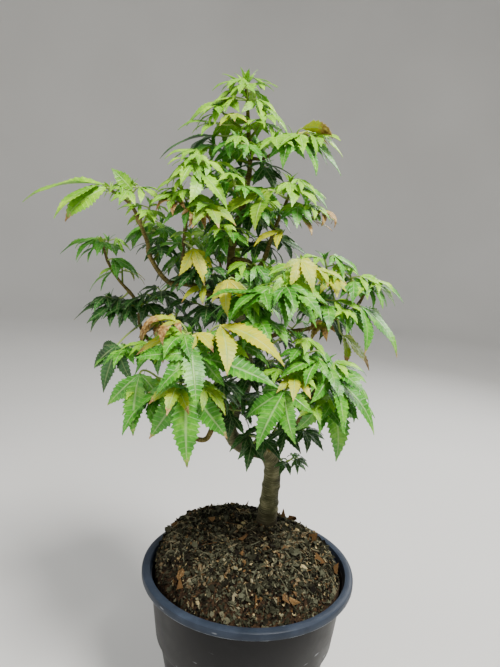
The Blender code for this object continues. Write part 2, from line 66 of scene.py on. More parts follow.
# Woody frame: name, parent, radius at the start and at the end, points
LIMBS = (
    ("trunk", None, 9.6, 4.2, (
        (17, 30, 177), (17, 30, 198), (18, 27, 223), (18, 22, 249), (11, 17, 264),
        (-3, 11, 270), (-16, 5, 277), (-25, 2, 291), (-22, 5, 308), (-15, 11, 324),
        (-12, 14, 343), (-15, 14, 368), (-22, 12, 394), (-28, 9, 419), (-32, 8, 441),
    )),
    ("leader_stem", "trunk", 3.9, 1.2, (
        (-33, 8, 458), (-29, 9, 479), (-24, 10, 498), (-22, 10, 515), (-21, 8, 530),
        (-24, 4, 556), (-26, 1, 575), (-28, 0, 590),
    )),
    ("upper_right_branch", "leader_stem", 2.8, 1.3, (
        (-19, 2, 446), (-10, 0, 441), (-4, -4, 448), (0, -6, 462), (4, -6, 476),
        (9, -8, 490), (14, -10, 505),
    )),
    ("top_right_twig", "leader_stem", 1.6, 1.0, (
        (-11, 2, 533), (3, -4, 540), (14, -8, 548),
    )),
    ("upper_left_branch", "trunk", 2.9, 1.2, (
        (-45, 0, 414), (-66, -8, 423), (-85, -12, 425), (-100, -14, 444), (-103, -14, 456),
        (-110, -12, 472), (-116, -12, 484), (-124, -12, 492), (-135, -12, 498),
    )),
    ("inner_left_stem", "upper_left_branch", 1.9, 1.0, (
        (-73, -14, 443), (-71, -20, 473), (-66, -26, 493), (-62, -28, 511), (-61, -28, 525),
    )),
    ("lower_left_branch", "trunk", 2.9, 1.1, (
        (-45, 26, 358), (-78, 36, 356), (-105, 38, 361), (-116, 34, 376), (-117, 28, 394),
        (-122, 24, 406), (-135, 20, 421), (-144, 18, 436), (-149, 16, 452),
    )),
    ("hooked_branch", "trunk", 3.4, 1.6, (
        (-33, -6, 317), (-38, -14, 308), (-40, -18, 298), (-45, -22, 289), (-55, -30, 293),
        (-62, -42, 307), (-63, -56, 327), (-59, -66, 343),
    )),
    ("front_branch", "trunk", 2.7, 1.5, (
        (-23, -8, 359), (-38, -34, 371), (-51, -56, 379), (-57, -66, 383),
    )),
    ("lower_right_branch", "trunk", 3.2, 1.4, (
        (23, 6, 281), (33, -6, 299), (41, -20, 321), (46, -32, 340), (49, -40, 355),
    )),
    ("middle_right_branch", "trunk", 2.7, 1.1, (
        (1, 2, 378), (18, -8, 387), (36, -12, 391), (59, -16, 402), (76, -18, 413),
        (84, -20, 429),
    )),
    ("centre_front_branch", "trunk", 2.2, 1.2, (
        (-13, -10, 403), (-3, -28, 413), (4, -38, 423),
    )),
    ("back_branch", "trunk", 2.8, 1.3, (
        (-16, 40, 379), (-27, 62, 388), (-39, 80, 409), (-47, 86, 439),
    )),
)

# Leaves that stand for a CAD leaf, by branch: name, hub, tip of the middle leaflet,
# leaflets, tint, yellowing, browning
LEAVES = (
    ("leader_stem", (
        ("apex_left", (-41, -6, 578), (-75, -18, 554), 5, "young", 0.1, 0),
        ("apex_right", (-19, -6, 577), (10, -14, 552), 5, "young", 0, 0),
        ("tip_left", (-36, -3, 593), (-55, -8, 582), 3, "young", 0, 0),
        ("tip_right", (-24, 0, 597), (-2, 2, 592), 3, "young", 0, 0),
        ("dark_arch", (-54, 16, 552), (-100, 18, 528), 3, "deep", 0, 0),
    )),
    ("inner_left_stem", (
        ("inner_shoot", (-64, -31, 533), (-88, -38, 524), 5, "young", 0, 0),
        ("inner_front", (-60, -38, 516), (-35, -54, 488), 3, "young", 0.1, 0),
        ("inner_left", (-70, -32, 513), (-94, -40, 499), 3, "young", 0.2, 0),
        ("inner_right", (-53, -24, 526), (-22, -22, 511), 3, "young", 0, 0),
    )),
    ("upper_left_branch", (
        ("far_left", (-141, -14, 503), (-209, -16, 486), 3, "young", 0.1, 0),
    )),
    ("lower_left_branch", (
        ("left_twig", (-154, 14, 457), (-185, 8, 442), 5, "mid", 0, 0),
        ("left_twig_inner", (-139, 14, 440), (-113, 6, 426), 3, "mid", 0, 0),
    )),
    ("inner_left_stem", (
        ("yellow_hanging", (-63, -28, 455), (-51, -38, 426), 3, "yellow", 0.8, 0.2),
    )),
    ("upper_right_branch", (
        ("long_right", (-5, -22, 506), (-55, -34, 484), 3, "yellow", 0.3, 0.1),
        ("right_shoot", (18, -16, 512), (46, -24, 496), 5, "mid", 0, 0),
        ("brown_tip", (24, -6, 488), (52, -10, 475), 3, "yellow", 0.5, 0.8),
    )),
    ("top_right_twig", (
        ("top_right", (20, -11, 550), (54, -16, 520), 5, "mid", 0.15, 0),
        ("bleached", (17, 0, 555), (46, 10, 550), 3, "yellow", 0.9, 0.5),
    )),
    ("upper_right_branch", (
        ("yellow_middle", (9, -18, 474), (-13, -28, 459), 3, "yellow", 0.9, 0.1),
    )),
    ("centre_front_branch", (
        ("yellow_palmate", (25, -42, 452), (35, -58, 427), 5, "yellow", 0.7, 0.1),
    )),
    ("middle_right_branch", (
        ("right_upper", (55, -14, 456), (78, -20, 442), 5, "mid", 0.1, 0),
        ("right_end", (86, -24, 437), (113, -30, 420), 5, "mid", 0.1, 0),
        ("right_droop", (79, -30, 416), (112, -38, 377), 3, "mid", 0.2, 0.2),
        ("right_yellow", (69, -14, 388), (92, -20, 359), 3, "yellow", 0.6, 0.5),
    )),
    ("centre_front_branch", (
        ("centre_shoot", (10, -48, 427), (40, -66, 403), 5, "mid", 0, 0),
        ("centre_left", (-4, -48, 424), (-51, -60, 414), 5, "mid", 0, 0),
        ("yellow_pair", (-32, -38, 432), (-31, -52, 404), 3, "yellow", 0.9, 0.1),
    )),
    ("front_branch", (
        ("front_whorl", (-57, -75, 384), (-48, -98, 341), 5, "mid", 0, 0),
        ("big_yellow", (-35, -62, 398), (15, -84, 372), 3, "yellow", 0.85, 0.15),
    )),
    ("hooked_branch", (
        ("hanging_front", (-58, -76, 350), (-53, -92, 291), 5, "mid", 0.05, 0.2),
        ("blunt_tip", (-98, -58, 354), (-99, -76, 308), 3, "mid", 0.15, 0.15),
    )),
    ("lower_left_branch", (
        ("left_shoot", (-130, 0, 364), (-141, -10, 322), 5, "deep", 0, 0),
        ("dark_left", (-136, 28, 403), (-178, 28, 380), 5, "deep", 0, 0.1),
    )),
    ("lower_right_branch", (
        ("front_right_high", (44, -58, 375), (13, -72, 361), 5, "mid", 0, 0),
        ("front_right", (18, -70, 351), (-2, -88, 308), 5, "mid", 0, 0),
        ("lower_right", (55, -50, 362), (97, -60, 318), 5, "mid", 0.1, 0),
        ("under_right", (58, -34, 345), (68, -42, 284), 3, "mid", 0.05, 0),
    )),
    ("back_branch", (
        ("back_low", (-12, 72, 372), (22, 106, 340), 5, "deep", 0, 0),
        ("back_right", (-16, 92, 415), (38, 104, 394), 5, "mid", 0, 0),
        ("back_left", (-64, 92, 428), (-114, 104, 404), 5, "mid", 0, 0),
        ("back_middle", (-42, 102, 424), (-40, 150, 396), 5, "mid", 0, 0),
        ("back_top", (-46, 92, 456), (-44, 132, 438), 5, "young", 0, 0),
    )),
    ("leader_stem", (
        ("back_upper", (-18, 42, 512), (-10, 88, 490), 5, "mid", 0, 0),
    )),
)

# Leaves that are turned from their chord: pitch, roll, steps back along the branch
NUDGES = {
    "long_right": (12, 0, 0),
    "centre_shoot": (0, 0, 1),
    "centre_left": (0, 12, 0),
    "yellow_pair": (0, 24, 2),
    "lower_right": (0, 0, 1),
    "back_middle": (-6, 0, 0),
}

# Side shoots that fill the crown, by branch: growing tip, leaf length, leaves, tint
SHOOTS = (
    ("leader_stem", (
        ((-27, -5, 591), 24, 6, "young"), ((-46, -15, 566), 26, 5, "young"),
        ((-13, -12, 563), 26, 5, "young"), ((-30, -25, 543), 28, 5, "mid"),
        ((-52, 10, 543), 28, 5, "mid"), ((-11, 5, 528), 28, 5, "deep"),
        ((-34, -30, 513), 30, 5, "mid"), ((-12, 46, 498), 30, 6, "mid"),
        ((-46, 44, 530), 28, 6, "mid"), ((8, 30, 468), 30, 6, "deep"),
        ((-34, -22, 474), 28, 6, "mid"), ((-56, 24, 490), 30, 6, "deep"),
        ((-4, 22, 488), 30, 6, "deep"),
    )),
    ("top_right_twig", (
        ((-1, -12, 548), 28, 5, "young"), ((31, -5, 552), 28, 4, "young"),
    )),
    ("inner_left_stem", (
        ((-61, -30, 527), 26, 6, "young"), ((-74, -28, 501), 26, 5, "young"),
        ((-47, -30, 491), 30, 5, "mid"),
    )),
    ("upper_right_branch", (
        ((13, -18, 514), 28, 6, "young"), ((27, -10, 496), 26, 5, "mid"),
        ((-9, -15, 494), 30, 5, "mid"),
    )),
    ("upper_left_branch", (
        ((-117, -16, 504), 22, 5, "young"), ((-102, -14, 488), 24, 4, "young"),
        ((-91, 5, 460), 26, 5, "deep"), ((-68, -10, 466), 28, 5, "mid"),
        ((-74, 40, 450), 30, 6, "deep"), ((-52, -18, 440), 28, 6, "deep"),
    )),
    ("lower_left_branch", (
        ((-144, 16, 456), 22, 5, "mid"), ((-133, 25, 431), 26, 4, "mid"),
        ((-144, 32, 402), 28, 6, "deep"), ((-114, 28, 402), 30, 6, "deep"),
        ((-89, 15, 417), 28, 6, "deep"), ((-86, 66, 386), 30, 6, "deep"),
        ((-120, -5, 361), 30, 6, "mid"),
    )),
    ("front_branch", (
        ((-92, -20, 370), 32, 5, "mid"), ((-59, -58, 390), 32, 6, "mid"),
        ((-34, -48, 382), 34, 5, "mid"),
    )),
    ("hooked_branch", (
        ((-64, -62, 350), 32, 5, "mid"), ((-97, -46, 344), 32, 6, "mid"),
        ((-38, -42, 346), 32, 5, "deep"),
    )),
    ("centre_front_branch", (
        ((-18, -30, 417), 34, 6, "mid"), ((14, -46, 430), 34, 6, "mid"),
        ((-2, -43, 396), 32, 5, "mid"), ((26, -25, 447), 30, 5, "young"),
    )),
    ("middle_right_branch", (
        ((48, -12, 452), 28, 6, "mid"), ((69, -20, 441), 28, 6, "mid"),
        ((85, -22, 436), 24, 5, "young"), ((50, -20, 419), 30, 5, "mid"),
        ((67, -22, 411), 28, 4, "mid"), ((56, 34, 408), 30, 6, "deep"),
    )),
    ("lower_right_branch", (
        ((29, -46, 388), 32, 5, "mid"), ((51, -46, 369), 32, 6, "mid"),
        ((18, -54, 363), 32, 5, "mid"), ((42, -38, 334), 34, 6, "mid"),
        ((67, -36, 340), 32, 5, "mid"), ((38, -13, 300), 26, 4, "deep"),
        ((58, 22, 342), 30, 6, "deep"),
    )),
    ("trunk", (
        ((4, -20, 332), 30, 5, "deep"), ((-30, -12, 338), 28, 5, "deep"),
        ((22, -10, 312), 28, 5, "deep"), ((-22, -4, 312), 28, 5, "deep"),
        ((2, -8, 290), 26, 5, "deep"), ((-4, -22, 352), 30, 6, "deep"),
        ((-12, -16, 446), 28, 6, "mid"), ((36, 10, 264), 17, 5, "deep"),
        ((14, 50, 350), 30, 6, "deep"), ((-58, 42, 372), 30, 6, "deep"),
        ((6, 24, 420), 30, 6, "deep"), ((-36, 18, 366), 28, 5, "deep"),
        ((-62, 18, 404), 28, 6, "deep"), ((-46, 26, 424), 28, 6, "deep"),
    )),
    ("leader_stem", (
        ((-34, 40, 558), 26, 6, "mid"), ((-30, 62, 470), 28, 6, "deep"),
    )),
    ("upper_left_branch", (
        ((-100, 34, 474), 28, 6, "mid"),
    )),
    ("middle_right_branch", (
        ((34, 34, 446), 28, 6, "deep"),
    )),
    ("trunk", (
        ((34, 62, 384), 28, 6, "deep"),
    )),
    ("back_branch", (
        ((-34, 108, 456), 30, 6, "mid"), ((-66, 84, 470), 28, 6, "mid"),
        ((4, 82, 440), 30, 6, "mid"), ((-30, 92, 386), 32, 6, "deep"),
        ((-4, 100, 400), 30, 6, "mid"),
    )),
)

# Odd leaves: branch, hub, tip, leaflets, tint, yellowing, browning, width, droop, roll
ODD_LEAVES = (
    # withered ones that still hang on
    ("inner_left_stem", (-76, -32, 492), (-92, -42, 482), 5, "yellow", 0.8, 1.0,
     0.34, 95, 0),
    ("inner_left_stem", (-64, -36, 486), (-52, -46, 472), 5, "yellow", 0.9, 0.9,
     0.34, 95, 0),
    ("front_branch", (-70, -66, 400), (-94, -76, 388), 5, "yellow", 0.7, 0.9, 0.34, 90, 0),
    ("upper_right_branch", (40, -12, 492), (52, -18, 478), 5, "yellow", 0.8, 1.0,
     0.34, 95, 0),
    ("middle_right_branch", (52, -20, 398), (40, -30, 384), 5, "yellow", 0.8, 1.1,
     0.34, 95, 0),
    ("lower_left_branch", (-96, 20, 384), (-108, 12, 362), 5, "yellow", 0.6, 1.1,
     0.34, 95, 0),
    # broad young ones on the reaching left branch
    ("upper_left_branch", (-116, -18, 499), (-132, -26, 515), 1, "young", 0.1, 0,
     0.46, 20, -70),
    ("upper_left_branch", (-138, -18, 500), (-168, -30, 470), 1, "young", 0.2, 0.3,
     0.4, 48, -35),
    ("upper_left_branch", (-110, -18, 502), (-90, -28, 489), 3, "young", 0, 0, 0.28, 30, 0),
    # a bleached, curled one at the top right
    ("top_right_twig", (20, -14, 557), (45, -22, 550), 1, "yellow", 0.9, 0.8, 0.5, 70, -50),
    # arching ones that frame the top
    ("leader_stem", (-50, -14, 557), (-80, -24, 547), 3, "young", 0.1, 0, 0.3, 40, 0),
    ("leader_stem", (-36, -14, 578), (-58, -20, 566), 3, "young", 0, 0, 0.3, 40, 0),
    ("leader_stem", (-18, -12, 578), (0, -18, 566), 3, "young", 0, 0, 0.3, 40, 0),
    ("top_right_twig", (26, -8, 556), (55, -14, 536), 3, "young", 0.2, 0, 0.3, 45, 0),
    ("top_right_twig", (10, -18, 548), (6, -28, 522), 3, "mid", 0.1, 0, 0.3, 35, 0),
    # yellow ones inside the crown
    ("upper_left_branch", (-52, -22, 424), (-70, -32, 410), 3, "yellow", 0.7, 0.3,
     0.3, 40, 0),
    ("centre_front_branch", (38, -40, 446), (64, -46, 436), 3, "yellow", 0.5, 0.3,
     0.3, 40, 0),
    ("hooked_branch", (-44, -74, 350), (-26, -86, 334), 3, "yellow", 0.3, 0.1, 0.3, 40, 0),
    # long side leaflets of the whorl in front
    ("front_branch", (-50, -78, 376), (-98, -84, 373), 1, "mid", 0.05, 0.0, 0.3, 24, -18),
    ("front_branch", (-48, -78, 375), (12, -92, 361), 1, "mid", 0.0, 0.0, 0.32, 22, 14),
    ("front_branch", (-52, -80, 374), (-78, -92, 346), 1, "mid", 0.0, 0.0, 0.34, 30, -8),
)


# ---------------------------------------------------------------- helpers

def linear(code):
    """Linear colour of an sRGB hex code."""
    parts = [int(code[i:i + 2], 16) / 255 for i in (1, 3, 5)]
    return tuple(c / 12.92 if c <= 0.04045 else ((c + 0.055) / 1.055) ** 2.4
                 for c in parts) + (1.0,)


def add(tree, kind, inputs=None, stops=None, **settings):
    """Add one node: its own settings, its inputs as values or links, and ramp stops."""
    made = tree.nodes.new("ShaderNode" + kind)
    for key, value in settings.items():
        setattr(made, key, value)
    for key, value in (inputs or {}).items():
        if isinstance(value, bpy.types.NodeSocket):
            tree.links.new(value, made.inputs[key])
        else:
            made.inputs[key].default_value = value
    if stops:
        points = made.color_ramp.elements
        while len(points) < len(stops):
            points.new(1.0)
        for point, (place, colour) in zip(points, stops):
            point.position = place
            point.color = linear(colour)
    return made


def new_material(name, roughness, specular=0.5):
    """Material with its node tree and its shader, whose even numbers are set here."""
    mat = bpy.data.materials.new(name)
    mat.use_nodes = True
    shader = mat.node_tree.nodes["Principled BSDF"]
    shader.inputs["Roughness"].default_value = roughness
    shader.inputs["Specular IOR Level"].default_value = specular
    return mat, mat.node_tree, shader


CREASE_ANGLE = math.radians(55)


class Sheet:
    """Points, faces, map and tone of one piece, in millimetres."""

    def __init__(self):
        self.points = []
        self.faces = []
        self.maps = []
        self.tones = []

    def point(self, place, u=0.5, v=0.0, tone=(0, 0, 0, 0)):
        self.points.append(place)
        self.maps.append((u, v))
        self.tones.append(tone)
        return len(self.points) - 1

    def piece(self, name, material, smooth=True):
        mesh = bpy.data.meshes.new(name)
        mesh.from_pydata([tuple(p * MM) for p in self.points], [], self.faces)
        layer = mesh.uv_layers.new(name="Blade")
        corners = [0] * len(mesh.loops)
        mesh.loops.foreach_get("vertex_index", corners)
        layer.data.foreach_set("uv", [c for k in corners for c in self.maps[k]])
        tone = mesh.attributes.new("Tone", "FLOAT_COLOR", "POINT")
        tone.data.foreach_set("color", [c for t in self.tones for c in t])
        if smooth:
            mesh.shade_smooth()
            mesh.set_sharp_from_angle(angle=CREASE_ANGLE)
        mesh.materials.append(material)
        mesh.validate()
        obj = bpy.data.objects.new(name, mesh)
        bpy.context.scene.collection.objects.link(obj)
        return obj


def settle(obj, slot, *nodes):
    """Let a piece ride on the plant and stand for its CAD nodes; its slot is not used."""
    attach(obj, BODY)
    if nodes:
        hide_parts(*nodes)


def smooth_path(points, steps):
    """Catmull-Rom curve through the points, with the given steps per span."""
    pts = [Vector(p) for p in points]
    ext = [2 * pts[0] - pts[1]] + pts + [2 * pts[-1] - pts[-2]]
    path = []
    for a, b, c, d in zip(ext, ext[1:], ext[2:], ext[3:]):
        for k in range(steps):
            t = k / steps
            path.append(0.5 * (2 * b + (c - a) * t + (2 * a - 5 * b + 4 * c - d) * t * t
                               + (3 * b - a - 3 * c + d) * t ** 3))
    path.append(pts[-1])
    return path


def tangents(path):
    """Direction of the path at each of its points."""
    return [(path[min(i + 1, len(path) - 1)] - path[max(i - 1, 0)]).normalized()
            for i in range(len(path))]


def turn_about(vector, axis, degrees):
    """The vector, turned about an axis."""
    return Matrix.Rotation(math.radians(degrees), 3, axis) @ vector


def add_tube(sheet, path, radii, sides, tone, rough=0.0, seed=0.0):
    """Round tapered tube with closed ends; rough raises fine rings across the bark."""
    dirs = tangents(path)
    side = dirs[0].orthogonal().normalized()
    run = 0.0
    rings = []
    for i, (point, along, radius) in enumerate(zip(path, dirs, radii)):
        if i:
            run += (point - path[i - 1]).length
        side = (side - along * side.dot(along)).normalized()
        other = along.cross(side)
        ring = []
        for k in range(sides):
            angle = math.tau * k / sides
            out = side * math.cos(angle) + other * math.sin(angle)
            bump = 0.0
            if rough:
                coarse = noise.noise(Vector((math.cos(angle) * 1.3 + seed,
                                             math.sin(angle) * 1.3, run * 0.05)))
                fine = noise.noise(Vector((math.cos(angle) * 1.1,
                                           math.sin(angle) * 1.1 + seed, run * 1.3)))
                bump = radius * (0.07 * coarse + rough * fine)
            ring.append(sheet.point(point + out * (radius + bump), k / sides, run, tone))
        rings.append(ring)
    for lower, upper in zip(rings, rings[1:]):
        for k in range(sides):
            j = (k + 1) % sides
            sheet.faces.append((lower[k], lower[j], upper[j], upper[k]))
    sheet.faces.append(tuple(reversed(rings[0])))
    sheet.faces.append(tuple(rings[-1]))


# ---------------------------------------------------------------- leaves

def leaf_frame(chord, roll):
    """Direction of a leaf, and the normal of its upper side, turned a little forward."""
    ahead = chord.normalized()
    up = Vector((0, 0, 1)) - Vector((0, 1, 0)) * 0.25
    normal = (up - ahead * up.dot(ahead)).normalized()
    return ahead, turn_about(normal, ahead, roll)


SPINE_STEPS = 24              # steps along a leaflet


def spine(hub, ahead, normal, length, droop, sway):
    """Even stations (point, heading, upper) along a leaflet that arches to its tip."""
    across = normal.cross(ahead).normalized()
    headings = []
    for i in range(SPINE_STEPS + 1):
        t = i / SPINE_STEPS
        bend = droop * (0.5 - 1.25 * t ** 1.4)
        heading = turn_about(ahead, across, -bend)
        heading = turn_about(heading, normal, sway * (0.5 - t))
        headings.append((heading, turn_about(normal, across, -bend)))
    places = [Vector((0, 0, 0))]
    for heading, _ in headings[:-1]:
        places.append(places[-1] + heading / SPINE_STEPS)
    chord = places[-1]
    fix = chord.rotation_difference(ahead)
    grow = length / chord.length
    return [(hub + (fix @ place) * grow, fix @ heading, fix @ upper)
            for place, (heading, upper) in zip(places, headings)]


def sample(stations, t):
    """Blend two neighbouring stations at fraction t of the leaflet."""
    x = min(max(t, 0.0), 1.0) * (len(stations) - 1)
    i = min(int(x), len(stations) - 2)
    f = x - i
    (p, a, u), (q, b, v) = stations[i], stations[i + 1]
    return p.lerp(q, f), a.lerp(b, f).normalized(), u.lerp(v, f).normalized()


def half_width(t):
    """Outline of a leaflet: narrow foot, broad middle and long drawn-out tip."""
    t = min(max(t, 0.0), 1.0)
    return math.sin(math.pi * t ** 0.86) ** 1.25 * (1.06 - 0.12 * t) + 0.035


# Places across a blade, from rim to rim: a large leaf has quilted halves
LARGE_BLADE = (-1.0, -0.55, 0.0, 0.55, 1.0)
SMALL_BLADE = (-1.0, 0.0, 1.0)
# Teeth of either blade: the length of one in mm, the fewest and the most
TEETH = {LARGE_BLADE: (3.6, 6, 13), SMALL_BLADE: (4.2, 5, 8)}
SLANT = 1.1                   # how far the side veins lean forward, in teeth
TOOTH = (1.12, 0.32)          # rim at the tip of a tooth: beside the outline, shift ahead
NOTCH = (0.86, -0.12)         # rim between two teeth
QUILT = 0.008                 # height of the quilting, beside the leaflet's length


def add_leaflet(sheet, stations, length, width, teeth, look, rng, columns):
    """Closed serrated blade along its stations: folded, quilted and slightly wavy."""
    yellow, brown = look
    half = 0.5 * width
    fold = rng.uniform(0.12, 0.3)
    phase = rng.uniform(0, math.tau)
    wave = rng.uniform(0.05, 0.16)
    rows = 2 * teeth + 1
    top = []
    bottom = []
    for r in range(rows):
        s = r / (rows - 1)
        vein = r % 2 == 1
        top_row = []
        bottom_row = []
        for c in columns:
            out = abs(c)
            shift = SLANT * out / teeth
            bite = 1.0
            if out == 1.0:
                bite, ahead = TOOTH if vein else NOTCH
                shift += ahead / teeth
            t = s + shift * min(1.0, 4 * s) * (1 - s)
            point, heading, upper = sample(stations, t)
            across = heading.cross(upper).normalized()
            reach = half * half_width(t) * out * bite
            rise = fold * reach - 0.10 * reach * out
            rise += wave * reach * math.sin(phase + 9.0 * t + (0.8 if c > 0 else 0.0))
            if 0.0 < out < 1.0:
                rise += (-QUILT if vein else QUILT) * length * min(1.0, 6 * s * (1 - s))
            place = point + across * math.copysign(reach, c) + upper * rise
            tone = (yellow, brown, 0.0, t)
            u = 0.5 + 0.5 * c
            top_row.append(sheet.point(place, u, s * teeth, tone))
            bottom_row.append(sheet.point(place - upper * BLADE_THICKNESS, u, s * teeth,
                                          tone))
        top.append(top_row)
        bottom.append(bottom_row)
    last = len(columns) - 1
    for r in range(rows - 1):
        for c in range(last):
            sheet.faces.append((top[r][c], top[r][c + 1], top[r + 1][c + 1],
                                top[r + 1][c]))
            sheet.faces.append((bottom[r][c], bottom[r + 1][c], bottom[r + 1][c + 1],
                                bottom[r][c + 1]))
        sheet.faces.append((top[r][0], top[r + 1][0], bottom[r + 1][0], bottom[r][0]))
        sheet.faces.append((top[r][last], bottom[r][last], bottom[r + 1][last],
                            top[r + 1][last]))
    for c in range(last):
        sheet.faces.append((top[0][c], bottom[0][c], bottom[0][c + 1], top[0][c + 1]))
        sheet.faces.append((top[-1][c], top[-1][c + 1], bottom[-1][c + 1],
                            bottom[-1][c]))


def nearest(path, point):
    """Index of the path's point that is nearest to another point."""
    return min(range(len(path)), key=lambda i: (path[i] - point).length)


def add_leaf(sheet, branch, hub, tip, count, look, rng, pitch=0, roll=0, back=0,
             width=LEAFLET_WIDTH, droop=34.0, columns=LARGE_BLADE):
    """One compound leaf with its stalk, which is let into the branch."""
    chord = tip - hub
    level = Vector((-chord.y, chord.x, 0.0))
    level = level.normalized() if level.length > 1e-3 else Vector((1, 0, 0))
    chord = turn_about(chord, level, pitch)
    ahead, normal = leaf_frame(chord, roll)
    length = chord.length
    for turn, part in FANS[count]:
        for sign in ((1,) if turn == 0 else (1, -1)):
            angle = sign * (turn + rng.uniform(-4, 4) * (turn > 0))
            heading = turn_about(ahead, normal, angle)
            axis = normal.cross(heading)
            drop = abs(turn) * 0.28 + rng.uniform(-3, 5)
            heading = turn_about(heading, axis, drop)
            upper = turn_about(normal, axis, drop)
            size = length * part * rng.uniform(0.93, 1.04) if turn else length
            stations = spine(hub, heading, upper, size, droop * rng.uniform(0.8, 1.25),
                             rng.uniform(-14, 14))
            tooth, fewest, most = TEETH[columns]
            teeth = max(fewest, min(most, round(size / tooth)))
            add_leaflet(sheet, stations, size, width * size, teeth, look, rng, columns)
    add_stalk(sheet, branch, hub, ahead, normal, look, back, length)


STALK_STEPS = 12


def add_stalk(sheet, branch, hub, ahead, normal, look, back, size):
    """Curved stalk from the underside of a leaf's hub into its branch."""
    path, radii = branch
    i = max(nearest(path, hub) - back, 1)
    out = hub - path[i]
    along = tangents(path)[i]
    if i < len(path) - 1 or out.dot(along) < 0.6 * out.length:
        out = out - along * out.dot(along)
    out = out.normalized()
    foot = path[i] + out * radii[i] * 0.4
    span = (foot - hub).length
    p1 = hub + (-ahead - normal * 0.6).normalized() * 0.35 * span
    p2 = foot + out * 0.35 * span
    line = []
    for k in range(STALK_STEPS + 1):
        t = k / STALK_STEPS
        s = 1.0 - t
        line.append(hub * s ** 3 + p1 * 3 * s * s * t + p2 * 3 * s * t * t
                    + foot * t ** 3)
    girth = min(1.0, 0.35 + size / 60)
    # a small swelling at the hub, and a foot that widens into the bark
    widths = [STALK_RADIUS * girth * (1.0 + 0.5 * (k / STALK_STEPS) ** 4 if k else 1.25)
              for k in range(STALK_STEPS + 1)]
    add_tube(sheet, line, widths, 7, (look[0], look[1], 1.0, 0.0))


def add_tuft(sheet, foot, along, size, rng, count=6):
    """Growing point: young leaflets that stand up round the tip of a stem."""
    along = along.normalized()
    side = along.orthogonal().normalized()
    for k in range(count):
        lean = 12 + 55 * k / count + rng.uniform(-6, 6)
        heading = turn_about(along, side, lean)
        heading = turn_about(heading, along, k * GOLDEN_TURN)
        upper = (along - heading * along.dot(heading))
        upper = upper.normalized() if upper.length > 1e-3 else side
        length = size * (0.55 + 0.6 * k / count) * rng.uniform(0.85, 1.15)
        stations = spine(foot, heading, upper, length, 30.0, rng.uniform(-10, 10))
        add_leaflet(sheet, stations, length, 0.22 * length, 5, (0.05, 0.0), rng,
                    SMALL_BLADE)


SHOOT_STEPS = 10
SHOOT_TIP_RADIUS = 0.75
CROWN_AXIS = (-15.0, 10.0)    # middle of the crown, which the shoots' leaves turn from


def add_shoot(woods, stems, sheets, rng, branch, tip, size, count, tint):
    """Thin side shoot: a bowed stem, leaves wound round it and a tuft at its tip."""
    path, radii = woods[branch]
    tip = Vector(tip)
    i = nearest(path, tip - Vector((0, 0, 14)))
    foot = path[i]
    reach = tip - foot
    middle = foot + reach * 0.55 - Vector((0, 0, 0.16 * reach.length))
    line = []
    for k in range(SHOOT_STEPS + 1):
        t = k / SHOOT_STEPS
        line.append(foot * (1 - t) ** 2 + middle * 2 * t * (1 - t) + tip * t * t)
    girth = min(1.5, 0.7 * radii[i])
    widths = [girth + (SHOOT_TIP_RADIUS - girth) * k / SHOOT_STEPS
              for k in range(SHOOT_STEPS + 1)]
    add_tube(stems, line, widths, 9, (0, 0, 0, 0), 0.04, len(line) + tip.x)
    turn = rng.uniform(0, math.tau)
    outward = math.atan2(tip.y - CROWN_AXIS[1], tip.x - CROWN_AXIS[0])
    for k in range(count):
        t = 1.0 - 0.55 * k / count
        at = line[round(SHOOT_STEPS * t)]
        angle = turn + math.radians(GOLDEN_TURN) * k
        angle += 0.45 * math.sin(outward - angle)
        out = Vector((math.cos(angle), math.sin(angle), 0.0))
        length = size * (0.72 + 0.4 * k / count) * rng.uniform(0.88, 1.12)
        hub = at + out * (3.0 + 0.24 * length) + Vector((0, 0, 0.1 * length))
        slope = -rng.uniform(0.15, 0.8) - 0.35 * k / count
        chord = (out + Vector((0, 0, slope))).normalized() * length
        kind = "young" if k < 2 and tint != "deep" else tint
        look = (rng.uniform(0.0, 0.25), 0.0)
        if rng.random() < 0.07 and tint != "deep":
            kind, look = "yellow", (rng.uniform(0.4, 0.9), rng.uniform(0.1, 0.6))
        add_leaf(sheets[kind], (line, widths), hub, hub + chord, rng.choice((3, 5, 5)),
                 look, rng, roll=rng.uniform(-12, 12), droop=rng.uniform(24, 52),
                 columns=SMALL_BLADE)
    add_tuft(sheets["young" if tint == "young" else "mid"], tip - Vector((0, 0, 0.6)),
             tangents(line)[-1] + Vector((0, 0, 0.8)), 0.42 * size, rng)


# ---------------------------------------------------------------- materials

